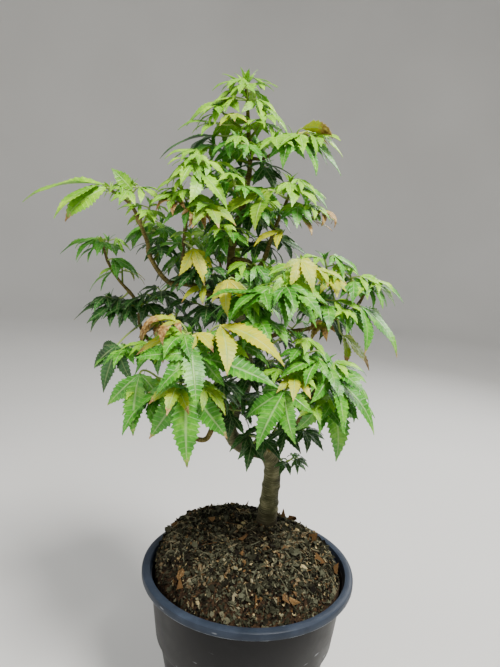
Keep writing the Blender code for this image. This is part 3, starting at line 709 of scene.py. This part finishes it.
def leaf_material(name, shade, body, lit, aged, roughness):
    """Living leaf: waxy skin with pale veins; it yellows between the veins as it ages."""
    mat, tree, shader = new_material(name, roughness)
    place = add(tree, "TexCoord").outputs["Object"]
    blade = add(tree, "UVMap", uv_map="Blade").outputs["UV"]
    axes = add(tree, "SeparateXYZ", {"Vector": blade})
    tone = add(tree, "Attribute", attribute_name="Tone")
    facts = add(tree, "SeparateColor", {"Color": tone.outputs["Color"]})
    yellowing, browning, stalk = facts.outputs
    centred = add(tree, "Math", {0: axes.outputs["X"], 1: 0.5},
                  operation="SUBTRACT").outputs[0]
    across = add(tree, "Math", {0: centred}, operation="ABSOLUTE").outputs[0]
    midrib = add(tree, "MapRange", {"Value": across, "From Min": 0.02, "From Max": 0.075,
                 "To Min": 1.0, "To Max": 0.0}).outputs[0]
    phase = add(tree, "Math", {0: axes.outputs["Y"]}, operation="FRACT")
    off = add(tree, "Math", {0: phase.outputs[0], 1: 0.5}, operation="SUBTRACT").outputs[0]
    off = add(tree, "Math", {0: off}, operation="ABSOLUTE").outputs[0]
    lateral = add(tree, "MapRange", {"Value": off, "From Min": 0.03, "From Max": 0.16,
                  "To Min": 0.4, "To Max": 0.0}).outputs[0]
    vein = add(tree, "Math", {0: midrib, 1: lateral}, operation="MAXIMUM").outputs[0]
    # patches of 15 to 20 mm, and a finer mottle of 3 mm between the veins
    patch = add(tree, "TexNoise", {"Vector": place, "Scale": 60.0,
                "Detail": 2.0}).outputs["Fac"]
    mottle = add(tree, "TexNoise", {"Vector": place, "Scale": 340.0,
                 "Detail": 3.0}).outputs["Fac"]
    blend = add(tree, "Math", {0: mottle, 1: 0.5, 2: patch},
                operation="MULTIPLY_ADD").outputs[0]
    green = add(tree, "ValToRGB", {"Fac": blend},
                stops=((0.45, shade), (0.75, body), (1.0, lit))).outputs["Color"]
    # yellowing starts between the veins
    wilt = add(tree, "Math", {0: patch, 1: 0.9, 2: yellowing},
               operation="MULTIPLY_ADD").outputs[0]
    wilt = add(tree, "Math", {0: vein, 1: -0.25, 2: wilt},
               operation="MULTIPLY_ADD").outputs[0]
    wilt = add(tree, "MapRange", {"Value": wilt, "From Min": 0.85,
               "From Max": 1.5}).outputs[0]
    skin = add(tree, "Mix", {0: wilt, 6: green, 7: linear(aged)},
               data_type="RGBA").outputs[2]
    pale = add(tree, "Math", {0: vein, 1: 0.3}, operation="MULTIPLY")
    skin = add(tree, "Mix", {0: pale.outputs[0], 6: skin, 7: linear("#cfe3a0")},
               data_type="RGBA").outputs[2]
    # dry brown tips
    tip = add(tree, "Math", {0: mottle, 1: 0.35, 2: tone.outputs["Alpha"]},
              operation="MULTIPLY_ADD").outputs[0]
    tip = add(tree, "Math", {0: browning, 1: 0.75, 2: tip},
              operation="MULTIPLY_ADD").outputs[0]
    tip = add(tree, "MapRange", {"Value": tip, "From Min": 1.2, "From Max": 1.3}).outputs[0]
    dry = add(tree, "ValToRGB", {"Fac": mottle},
              stops=((0.35, "#6e4a20"), (0.55, "#ab8748"), (0.75, "#d3c08a")))
    skin = add(tree, "Mix", {0: tip, 6: skin, 7: dry.outputs["Color"]},
               data_type="RGBA").outputs[2]
    skin = add(tree, "Mix", {0: stalk, 6: skin, 7: linear("#9db45a")},
               data_type="RGBA").outputs[2]
    tree.links.new(skin, shader.inputs["Base Color"])
    height = add(tree, "Math", {0: mottle, 1: 0.4, 2: vein},
                 operation="MULTIPLY_ADD").outputs[0]
    bump = add(tree, "Bump", {"Height": height, "Strength": 0.5, "Distance": 0.0007})
    tree.links.new(bump.outputs["Normal"], shader.inputs["Normal"])
    return mat


def bark_material(name, dark, body, pale, ring_scale, foot_depth):
    """Young bark: thin, matt and olive, with fine wrinkles; it is brown near its foot."""
    mat, tree, shader = new_material(name, 0.72, 0.3)
    blade = add(tree, "UVMap", uv_map="Blade").outputs["UV"]
    stretch = add(tree, "Mapping", {"Vector": blade, "Scale": (3.0, ring_scale, 1.0)})
    rings = add(tree, "TexNoise", {"Vector": stretch.outputs[0], "Scale": 1.0,
                "Detail": 5.0, "Roughness": 0.65})
    place = add(tree, "TexCoord").outputs["Object"]
    patch = add(tree, "TexNoise", {"Vector": place, "Scale": 90.0,
                "Detail": 3.0}).outputs["Fac"]
    both = add(tree, "Math", {0: patch, 1: 0.55, 2: rings.outputs["Fac"]},
               operation="MULTIPLY_ADD").outputs[0]
    colour = add(tree, "ValToRGB", {"Fac": both},
                 stops=((0.58, dark), (0.78, body), (1.0, pale))).outputs["Color"]
    axes = add(tree, "SeparateXYZ", {"Vector": blade})
    foot = add(tree, "MapRange", {"Value": axes.outputs["Y"], "From Min": 0.35 * foot_depth,
               "From Max": foot_depth, "To Min": 0.8, "To Max": 0.0}).outputs[0]
    colour = add(tree, "Mix", {0: foot, 6: colour, 7: linear("#2b2015")},
                 data_type="RGBA").outputs[2]
    tree.links.new(colour, shader.inputs["Base Color"])
    bump = add(tree, "Bump", {"Height": rings.outputs["Fac"], "Strength": 0.6,
               "Distance": 0.0005})
    tree.links.new(bump.outputs["Normal"], shader.inputs["Normal"])
    return mat


POLYPROPYLENE_IOR = 1.49
LIP_UNDERSIDE = 152.6         # mm above the pot's foot
# height of the mould line along the lower edge of the lip, where a pale highlight is
# painted
MOULD_LINE = 152.9


def pot_material():
    """Moulded polypropylene: charcoal, satin, faintly dusty, scuffed; the lip is painted
    lighter and bluer as lit from above, with a painted highlight along its mould line.
    """
    mat, tree, shader = new_material("moulded_polypropylene", 0.4, 0.15)
    shader.inputs["IOR"].default_value = POLYPROPYLENE_IOR
    place = add(tree, "TexCoord").outputs["Object"]
    dust = add(tree, "TexNoise", {"Vector": place, "Scale": 45.0, "Detail": 5.0,
               "Roughness": 0.6})
    grain = add(tree, "TexNoise", {"Vector": place, "Scale": 900.0, "Detail": 2.0})
    wall = add(tree, "ValToRGB", {"Fac": dust.outputs["Fac"]},
               stops=((0.35, "#0f0f10"), (0.6, "#141415"), (0.8, "#1d1d1f")))
    # painted light: the lip gets a lighter, bluer copy of the plastic, as where its top
    # catches the light from above
    rim = add(tree, "ValToRGB", {"Fac": dust.outputs["Fac"]},
              stops=((0.35, "#252c37"), (0.6, "#2f3744"), (0.8, "#3d4756")))
    height = add(tree, "SeparateXYZ", {"Vector": place}).outputs["Z"]
    on_rim = add(tree, "MapRange", {"Value": height, "From Min": (LIP_UNDERSIDE - 0.4) * MM,
                 "From Max": LIP_UNDERSIDE * MM}).outputs[0]
    base = add(tree, "Mix", {0: on_rim, 6: wall.outputs["Color"], 7: rim.outputs["Color"]},
               data_type="RGBA")
    # painted highlight: a thin pale line along the mould line at the lower edge of the lip,
    # broken in places
    line = add(tree, "Math", {0: height, 1: MOULD_LINE * MM, 2: 0.4 * MM},
               operation="COMPARE").outputs[0]
    highlight_breaks = add(tree, "MapRange", {"Value": dust.outputs["Fac"], "From Min": 0.42,
               "From Max": 0.55, "To Max": 0.75}).outputs[0]
    line = add(tree, "Math", {0: line, 1: highlight_breaks}, operation="MULTIPLY").outputs[0]
    base = add(tree, "Mix", {0: line, 6: base.outputs[2], 7: linear("#9aa0a8")},
               data_type="RGBA")
    # scuffs: short pale rubs, a few millimetres long
    rub = add(tree, "Mapping", {"Vector": place, "Scale": (60.0, 60.0, 260.0)})
    rubs = add(tree, "TexNoise", {"Vector": rub.outputs[0], "Scale": 1.0, "Detail": 1.0})
    mask = add(tree, "MapRange", {"Value": rubs.outputs["Fac"], "From Min": 0.74,
               "From Max": 0.8, "To Max": 0.5}).outputs[0]
    colour = add(tree, "Mix", {0: mask, 6: base.outputs[2], 7: linear("#a9adb3")},
                 data_type="RGBA")
    tree.links.new(colour.outputs[2], shader.inputs["Base Color"])
    rough = add(tree, "MapRange", {"Value": dust.outputs["Fac"], "From Min": 0.3,
                "From Max": 0.8, "To Min": 0.34, "To Max": 0.52})
    tree.links.new(rough.outputs[0], shader.inputs["Roughness"])
    bump = add(tree, "Bump", {"Height": grain.outputs["Fac"], "Strength": 0.15,
               "Distance": 0.0002})
    tree.links.new(bump.outputs["Normal"], shader.inputs["Normal"])
    return mat


def soil_material(name):
    """Peat and bark fines: dark, matt and crumbly."""
    mat, tree, shader = new_material(name, 0.95, 0.2)
    place = add(tree, "TexCoord").outputs["Object"]
    crumbs = add(tree, "TexNoise", {"Vector": place, "Scale": 420.0, "Detail": 6.0,
                 "Roughness": 0.7})
    colour = add(tree, "ValToRGB", {"Fac": crumbs.outputs["Fac"]},
                 stops=((0.35, "#17100a"), (0.55, "#3a2a1b"), (0.75, "#6b5236")))
    tree.links.new(colour.outputs["Color"], shader.inputs["Base Color"])
    bump = add(tree, "Bump", {"Height": crumbs.outputs["Fac"], "Strength": 1.0,
               "Distance": 0.0015})
    tree.links.new(bump.outputs["Normal"], shader.inputs["Normal"])
    return mat


def flake_material(name):
    """Dry crumbled leaf: papery, matt, from grey-green through olive to rust and straw, all
    painted darker as shade from the crown.
    """
    mat, tree, shader = new_material(name, 0.9, 0.1)
    tone = add(tree, "Attribute", attribute_name="Tone")
    facts = add(tree, "SeparateColor", {"Color": tone.outputs["Color"]})
    place = add(tree, "TexCoord").outputs["Object"]
    speck = add(tree, "TexNoise", {"Vector": place, "Scale": 800.0,
                "Detail": 3.0}).outputs["Fac"]
    mixed = add(tree, "Math", {0: speck, 1: 0.12, 2: facts.outputs[0]},
                operation="MULTIPLY_ADD").outputs[0]
    # painted shade: the dry-leaf colours are all darkened, as the crown shades the heap
    colour = add(tree, "ValToRGB", {"Fac": mixed},
                 stops=((0.05, "#080604"), (0.22, "#14110c"), (0.40, "#232218"),
                 (0.58, "#3a3b2c"), (0.74, "#595a48"), (0.86, "#857d62"), (0.92, "#573f26"),
                 (0.97, "#6c5232"), (1.0, "#a8986f")))
    # the Tone's second channel darkens the colour further: painted shade towards the left
    # of the heap, a darker patch in front of the trunk, and random variation
    shade = add(tree, "Mix", {0: facts.outputs[1], 6: colour.outputs["Color"],
                7: linear("#1a120b")}, data_type="RGBA")
    tree.links.new(shade.outputs[2], shader.inputs["Base Color"])
    bump = add(tree, "Bump", {"Height": speck, "Strength": 0.6, "Distance": 0.0003})
    tree.links.new(bump.outputs["Normal"], shader.inputs["Normal"])
    return mat


LEAF_LOOKS = {
    # young leaves: thin and bright, so they look yellow-green
    "young": leaf_material("young_leaf_skin", "#4c8c06", "#7fbc0e", "#aede24", "#cfd414",
                           0.42),
    # full-grown leaves: waxy mid green
    "mid": leaf_material("grown_leaf_skin", "#20640a", "#429016", "#7abf2c", "#c8c81c",
                         0.4),
    # painted shade: a darker copy of the leaf skin for leaves inside the crown, where shade
    # falls
    "deep": leaf_material("shaded_leaf_skin", "#0e300a", "#1b5012", "#337226", "#8f8a1c",
                          0.45),
    # leaves that are being shed: yellow, with dry brown tips
    "yellow": leaf_material("ageing_leaf_skin", "#558c0c", "#86b014", "#aac81e", "#ccc206",
                            0.48),
}
TRUNK_BARK = bark_material("trunk_bark_skin", "#232415", "#545435", "#a09c74", 1.8, 30.0)
TWIG_BARK = bark_material("twig_bark_skin", "#33240f", "#655a2a", "#93824c", 1.2, 5.0)
SHOOT_BARK = bark_material("green_shoot_skin", "#46601c", "#6f8e2c", "#9aae4e", 0.8, 2.0)
SOIL = soil_material("peat_mix")
FLAKES = flake_material("dry_leaf_crumb")
POT = pot_material()


# ---------------------------------------------------------------- building

CAMERA_PITCH = math.radians(9.95)
CAMERA_ROLL = math.radians(3.64)
CAMERA_PLACE = (-0.0118, -0.5095, POT_HEIGHT * MM + 0.3116)   # m
CAMERA_LENS = 31.3            # mm on a 36 mm sensor


def build_camera():
    """Close viewpoint above the rim, which looks slightly down and is a little tilted."""
    pitch, roll = CAMERA_PITCH, CAMERA_ROLL
    ahead = Vector((0, math.cos(pitch), -math.sin(pitch)))
    up = Vector((0, math.sin(pitch), math.cos(pitch)))
    right = Vector((1, 0, 0))
    right, up = (right * math.cos(roll) + up * math.sin(roll),
                 up * math.cos(roll) - right * math.sin(roll))
    data = bpy.data.cameras.new("camera")
    data.sensor_width = 36.0
    data.lens = CAMERA_LENS
    camera = bpy.data.objects.new("camera", data)
    x, y, z = CAMERA_PLACE
    camera.matrix_world = Matrix(((right.x, up.x, -ahead.x, x),
                                  (right.y, up.y, -ahead.y, y),
                                  (right.z, up.z, -ahead.z, z),
                                  (0, 0, 0, 1)))
    bpy.context.scene.collection.objects.link(camera)
    bpy.context.scene.camera = camera


def build_light(name, place, aim, size, power, colour=(1, 1, 1)):
    """Square soft box at a place, turned to its aim: metres and watts."""
    data = bpy.data.lights.new(name, "AREA")
    data.size = size
    data.energy = power
    data.color = colour
    light = bpy.data.objects.new(name, data)
    light.location = place
    light.rotation_euler = (Vector(aim) - Vector(place)).to_track_quat("-Z", "Y").to_euler()
    bpy.context.scene.collection.objects.link(light)


def turn_up(name, steps, vertices):
    """Start from a disc; each (radius, height) step extrudes its rim and sizes it.

    The object is left in edit mode.
    """
    radius, height = steps[0]
    bpy.ops.object.select_all(action="DESELECT")
    bpy.ops.mesh.primitive_circle_add(vertices=vertices, radius=radius * MM,
                                      fill_type="NGON", location=(0, 0, 0))
    obj = bpy.context.active_object
    obj.name = name
    bpy.ops.object.mode_set(mode="EDIT")
    bpy.ops.mesh.select_all(action="SELECT")
    bpy.ops.transform.translate(value=(0, 0, height * MM))
    for wide, high in steps[1:]:
        bpy.ops.mesh.extrude_region_move(
            TRANSFORM_OT_translate={"value": (0, 0, (high - height) * MM)})
        grow = wide / radius
        bpy.ops.transform.resize(value=(grow, grow, 1), center_override=(0, 0, high * MM))
        radius, height = wide, high
    return obj


FLOOR_RADIUS = 2600.0
FLOOR_LEVEL = -0.3            # just under the pot's foot
SWEEP_RADIUS = 1100.0         # of the curve from the floor up to the wall
SWEEP_STEPS = 12
WALL_TOP = 4200.0


def build_studio():
    """Round sheet of pale paper that curves up behind, open above, and three soft boxes."""
    sweep = [(FLOOR_RADIUS, FLOOR_LEVEL)]
    for k in range(1, SWEEP_STEPS + 1):
        angle = math.radians(90.0 / SWEEP_STEPS * k)
        sweep.append((FLOOR_RADIUS + SWEEP_RADIUS * math.sin(angle),
                      FLOOR_LEVEL + SWEEP_RADIUS * (1.0 - math.cos(angle))))
    sweep.append((FLOOR_RADIUS + SWEEP_RADIUS, WALL_TOP))
    floor = turn_up("studio_floor", sweep, 96)
    # the last ring's lid is still selected: without it, light comes in from above
    bpy.ops.mesh.delete(type="ONLY_FACE")
    bpy.ops.mesh.select_all(action="SELECT")
    bpy.ops.mesh.normals_make_consistent(inside=True)
    bpy.ops.object.mode_set(mode="OBJECT")
    bpy.ops.object.shade_smooth()
    mat, tree, shader = new_material("matt_studio_paper", 0.85, 0.2)
    place = add(tree, "TexCoord").outputs["Object"]
    drift = add(tree, "TexNoise", {"Vector": place, "Scale": 1.5})
    colour = add(tree, "ValToRGB", {"Fac": drift.outputs["Fac"]},
                 stops=((0.3, "#d4d3d0"), (0.7, "#dbdad7")))
    tree.links.new(colour.outputs["Color"], shader.inputs["Base Color"])
    floor.data.materials.append(mat)
    world = bpy.data.worlds.new("studio_air")
    world.use_nodes = True
    sky = world.node_tree.nodes["Background"]
    sky.inputs["Color"].default_value = (0.78, 0.80, 0.84, 1.0)
    sky.inputs["Strength"].default_value = 0.38
    bpy.context.scene.world = world
    build_light("key_light", (0.62, -0.76, 1.9), (-0.02, 0, 0.4), 0.6, 74.0,
                (1.0, 0.98, 0.94))
    build_light("fill_light", (-1.1, -0.9, 0.8), (0, 0, 0.35), 1.2, 7.0)
    build_light("rim_light", (0.8, 1.0, 1.0), (0, 0, 0.4), 0.8, 14.0)


def build_pot():
    """Turn the pot up from its underside: each step extrudes the ring and sizes it."""
    steps = (
        (44.0, 0.0), (46.0, 3.0), (56.0, 3.0), (58.0, 0.0), (62.6, 0.0), (63.9, 0.4),
        (64.5, 1.5), (64.9, 4.0), (81.0, 87.5), (81.7, 89.5), (84.1, 92.2), (84.9, 94.0),
        (91.4, 149.0), (91.7, 152.2), (92.6, 152.6), (98.8, 152.6), (99.7, 153.0),
        (100.0, 153.9), (100.0, 157.2), (99.5, 158.9), (98.2, 159.8), (96.6, 160.0),
        (93.6, 160.0), (92.5, 159.6), (92.1, 158.8), (91.7, 155.0), (89.7, 151.0),
        (82.6, 94.0), (79.2, 89.5), (63.0, 8.0), (61.0, 5.5), (46.0, 5.5), (42.0, 2.5),
    )
    pot = turn_up("pot_shell", steps, 160)
    bpy.ops.mesh.select_all(action="SELECT")
    bpy.ops.mesh.normals_make_consistent(inside=False)
    bpy.ops.object.mode_set(mode="OBJECT")
    bpy.ops.object.shade_smooth_by_angle(angle=math.radians(35))
    pot.data.materials.append(POT)
    settle(pot, "pot_plastic", "nursery_pot")


def litter_top(x, y):
    """Heaped surface of the dry leaves, with a few soft lumps."""
    reach = math.hypot(x, y) / LITTER_RADIUS
    lumps = math.sin(x * 0.11 + 1.0) * math.cos(y * 0.13) + math.sin(x * 0.05 - y * 0.09)
    bulge = max(0.0, math.cos(math.atan2(y, x) - BULGE_TURN))
    heap = max(0.0, 1.0 - reach ** (LITTER_STEEPNESS + BULGE_STEEPNESS * bulge))
    return LITTER_EDGE_Z + LITTER_RISE * heap + 1.2 * lumps * min(1.0, 3.0 * heap)


BED_DROP = 1.6                # the bed lies this far under the strewn flakes
BED_SKIRT = 7.0               # its side goes down this far under the litter's edge
# Strewn pieces: name, how many, smallest and largest radius, lift above the bed
STREWN = (
    ("litter_crumbs", 11000, 1.0, 2.4, 0.3),
    ("litter_flakes", 1100, 2.2, 4.6, 1.2),
    ("litter_scraps", 34, 4.4, 7.2, 2.0),
)
STRAWS = 110


def build_litter():
    """Crumbly bed with thousands of dry flakes and a few larger pieces strewn on it."""
    rng = random.Random(11)
    bed = Sheet()
    rings = 46
    spokes = 120
    rows = []
    for r in range(rings + 1):
        radius = LITTER_RADIUS * r / rings
        row = []
        for k in range(spokes if r else 1):
            angle = math.tau * k / spokes
            x, y = radius * math.cos(angle), radius * math.sin(angle)
            crumb = noise.noise(Vector((x * 0.5, y * 0.5, 0.0))) * 1.4
            row.append(bed.point(Vector((x, y, litter_top(x, y) - BED_DROP + crumb))))
        rows.append(row)
    skirt = [bed.point(Vector((bed.points[k].x, bed.points[k].y,
                               LITTER_EDGE_Z - BED_SKIRT))) for k in rows[-1]]
    rows.append(skirt)
    for lower, upper in zip(rows, rows[1:]):
        for k in range(spokes):
            j = (k + 1) % spokes
            if len(lower) == 1:
                bed.faces.append((lower[0], upper[k], upper[j]))
            else:
                bed.faces.append((lower[k], upper[k], upper[j], lower[j]))
    bed.faces.append(tuple(reversed(skirt)))
    obj = bed.piece("litter_bed", SOIL)
    settle(obj, "dry_litter", "leaf_litter")
    for name, count, low, high, lift in STREWN:
        flakes = Sheet()
        for _ in range(count):
            add_flake(flakes, rng, low, high, lift)
        settle(flakes.piece(name, FLAKES, smooth=False), "dry_litter")
    straws = Sheet()
    for _ in range(STRAWS):
        add_straw(straws, rng)
    settle(straws.piece("litter_straws", FLAKES), "dry_litter")


def add_straw(sheet, rng):
    """One dry leaf stalk that lies on the heap: thin, pale and slightly bent."""
    radius = (LITTER_RADIUS - 10.0) * math.sqrt(rng.random())
    angle = rng.uniform(0, math.tau)
    x, y = radius * math.cos(angle), radius * math.sin(angle)
    turn = rng.uniform(0, math.tau)
    length = rng.uniform(7.0, 20.0)
    bow = rng.uniform(-0.25, 0.25)
    line = []
    for k in range(6):
        t = k / 5 - 0.5
        px = x + length * (t * math.cos(turn) - bow * t * t * math.sin(turn))
        py = y + length * (t * math.sin(turn) + bow * t * t * math.cos(turn))
        line.append(Vector((px, py, litter_top(px, py) + 1.1 + 2.0 * t * t)))
    add_tube(sheet, line, [rng.uniform(0.3, 0.5)] * 6, 5,
             (rng.uniform(0.6, 0.87), rng.uniform(0.0, 0.3), 0, 0))


SCRAP_SIZE = 7.0              # a flake this large is one of the few torn leaves
DARK_PATCH_PLACE = (6.0, -2.0)      # darker patch in front of the trunk
DARK_PATCH_RADIUS = 26.0


def add_flake(sheet, rng, low, high, lift):
    """One torn scrap of dry leaf: five or six corners, thin and a little curled."""
    while True:
        radius = (LITTER_RADIUS - 1.0) * math.sqrt(rng.random())
        angle = rng.uniform(0, math.tau)
        x, y = radius * math.cos(angle), radius * math.sin(angle)
        if math.hypot(x - TRUNK_FOOT[0], y - TRUNK_FOOT[1]) > TRUNK_FOOT_RADIUS + 1.0:
            break
    size = rng.uniform(low, high)
    middle = Vector((x, y, litter_top(x, y) + rng.uniform(-1.4, 0.8) + lift))
    slope = Vector((litter_top(x - 2, y) - litter_top(x + 2, y),
                    litter_top(x, y - 2) - litter_top(x, y + 2), 4.0)).normalized()
    tilt = Vector((rng.gauss(0, 1), rng.gauss(0, 1), rng.gauss(0, 0.6))) * 0.75
    up = (slope + tilt).normalized()
    side = up.orthogonal().normalized()
    side = turn_about(side, up, rng.uniform(0, 360))
    other = up.cross(side)
    corners = rng.choice((4, 5, 5, 6))
    stretch = rng.uniform(0.3, 0.95)
    curl = rng.uniform(-0.8, 1.2)
    patch = noise.noise(Vector((x * 0.035, y * 0.035, 4.0)))
    hue = min(0.84, max(0.0, rng.gauss(0.46 + 0.25 * patch, 0.2)))
    if high > SCRAP_SIZE:
        hue = rng.choice((0.6, 0.86, 0.88, 0.9))
        curl = rng.choice((-1.0, 1.1, 1.6))
    elif rng.random() < 0.03 + 0.25 * max(0.0, -patch):
        hue = rng.uniform(0.84, 1.0)
    # darker flakes: in a patch in front of the trunk, towards the left as painted shade,
    # and a little at random
    near = math.hypot(x - DARK_PATCH_PLACE[0], y - DARK_PATCH_PLACE[1]) / DARK_PATCH_RADIUS
    dark = max(0.0, 0.75 - near * 0.6) if near < 1.25 else 0.0
    dark = min(0.9, dark + max(0.0, -x / 300) + rng.uniform(0, 0.15))
    tone = (hue, dark, 0.0, 0.0)
    top = []
    bottom = []
    for k in range(corners):
        a = math.tau * (k + rng.uniform(-0.25, 0.25)) / corners
        r = size * rng.uniform(0.7, 1.1)
        flat = side * math.cos(a) * r + other * math.sin(a) * r * stretch
        bend = curl * (flat.dot(side) / size) ** 2 * size * 0.6
        place = middle + flat + up * bend
        reach = math.hypot(place.x, place.y)
        if reach > LITTER_RADIUS + 0.5:
            place.x *= (LITTER_RADIUS + 0.5) / reach
            place.y *= (LITTER_RADIUS + 0.5) / reach
        top.append(sheet.point(place, tone=tone))
        bottom.append(sheet.point(place - up * FLAKE_THICKNESS, tone=tone))
    sheet.faces.append(tuple(top))
    sheet.faces.append(tuple(reversed(bottom)))
    for k in range(corners):
        j = (k + 1) % corners
        sheet.faces.append((top[j], top[k], bottom[k], bottom[j]))


KNOTS = 12                    # swellings where leaves once grew, up to this many
KNOT_SPACING = (16, 26)
KNOT_WIDTH = 2.4
ROOT_FLARE = 12.0             # length over which the trunk's foot thins
COLLAR = 4.0                  # the same for a branch's foot


def build_woods():
    """Trunk and branches, each let into its parent so that no joint shows."""
    woods = {}
    for name, parent, start, end, points in LIMBS:
        points = [Vector(p) for p in points]
        if parent == "trunk" and name == "leader_stem":
            points.insert(0, woods["trunk"][0][-1] - Vector((0, 0, 4.0)))
        elif parent is not None:
            path, radii = woods[parent]
            i = nearest(path, points[0])
            out = (points[0] - path[i]).normalized()
            points.insert(0, path[i] + out * (radii[i] + 3.0))
            points.insert(0, path[i] + out * radii[i] * 0.3)
        steps = 24 if name == "trunk" else 7
        path = smooth_path(points, steps)
        last = len(path) - 1
        radii = []
        run = 0.0
        rng = random.Random(name)
        knots = [rng.uniform(*KNOT_SPACING) * (k + 1) for k in range(KNOTS)]
        for i, point in enumerate(path):
            run += (point - path[i - 1]).length if i else 0.0
            radius = start + (end - start) * (i / last) ** 0.8
            swell = sum(math.exp(-((run - k) / KNOT_WIDTH) ** 2) for k in knots)
            radius *= 1.0 + (0.10 if name == "trunk" else 0.28) * swell
            if name == "trunk":
                radius *= 1.0 + 0.3 * math.exp(-run / ROOT_FLARE)
            elif parent is not None:
                radius *= 1.0 + 0.35 * math.exp(-run / COLLAR)
            radii.append(radius)
        woods[name] = (path, radii)
        sheet = Sheet()
        if name == "trunk":
            add_tube(sheet, path, radii, 44, (0, 0, 0, 0), 0.007)
            obj = sheet.piece("trunk_bark", TRUNK_BARK)
            settle(obj, "trunk_bark", name)
        else:
            add_tube(sheet, path, radii, 16, (0, 0, 0, 0), 0.05, len(name))
            obj = sheet.piece(f"{name}_bark", TWIG_BARK)
            settle(obj, "branch_bark", name)
    return woods


def build_leaves(woods):
    """One piece for each leaf of the CAD model."""
    for branch, leaves in LEAVES:
        for short, hub, tip, count, tint, yellow, brown in leaves:
            name = f"leaf_{short}"
            sheet = Sheet()
            add_leaf(sheet, woods[branch], Vector(hub), Vector(tip), count,
                     (yellow, brown), random.Random(name), *NUDGES.get(short, ()))
            obj = sheet.piece(f"{name}_blades", LEAF_LOOKS[tint])
            settle(obj, f"leaf_{tint}", name)


LOW_CROWN = 385               # top of the lower third, mm
MIDDLE_CROWN = 470
# Tufts at the ends of the branches, by their size
TUFTS = (("leader_stem", 22.0), ("upper_left_branch", 13.0), ("lower_left_branch", 12.0),
         ("top_right_twig", 12.0), ("inner_left_stem", 13.0), ("upper_right_branch", 13.0),
         ("middle_right_branch", 13.0), ("back_branch", 14.0))


def storey(height):
    """Part of the crown that a height in mm belongs to."""
    return "low" if height < LOW_CROWN else "middle" if height < MIDDLE_CROWN else "high"


def build_shoots(woods):
    """Side shoots and odd leaves: one piece for each tint and storey of the crown."""
    rng = random.Random(5)
    stems = Sheet()
    crown = {}
    for level in ("low", "middle", "high"):
        crown[level] = {tint: Sheet() for tint in LEAF_LOOKS}
    for branch, shoots in SHOOTS:
        for tip, size, count, tint in shoots:
            add_shoot(woods, stems, crown[storey(tip[2])], rng, branch, tip, size, count,
                      tint)
    for branch, hub, tip, count, tint, yellow, brown, width, droop, roll in ODD_LEAVES:
        add_leaf(crown[storey(hub[2])][tint], woods[branch], Vector(hub), Vector(tip),
                 count, (yellow, brown), rng, width=width, droop=droop, roll=roll)
    for name, size in TUFTS:
        path = woods[name][0]
        along = (path[-1] - path[-2]).normalized() + Vector((0, 0, 0.7))
        add_tuft(crown[storey(path[-1].z)]["young"], path[-1] - Vector((0, 0, 0.8)),
                 along, size, rng, 8)
    settle(stems.piece("side_shoot_stems", SHOOT_BARK), "branch_bark")
    for level, sheets in crown.items():
        for tint, sheet in sheets.items():
            if sheet.faces:
                obj = sheet.piece(f"crown_{level}_{tint}_leaves", LEAF_LOOKS[tint])
                settle(obj, f"leaf_{tint}")


def finish_hidden_nodes():
    """The soil and the roots keep their CAD shape and get their own finish."""
    for name, material in (("potting_soil", SOIL), ("root_crown", TWIG_BARK)):
        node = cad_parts[name]
        node.data.materials.clear()
        node.data.materials.append(material)


build_camera()
build_studio()
finish_hidden_nodes()
build_pot()
build_litter()
WOODS = build_woods()
build_leaves(WOODS)
build_shoots(WOODS)
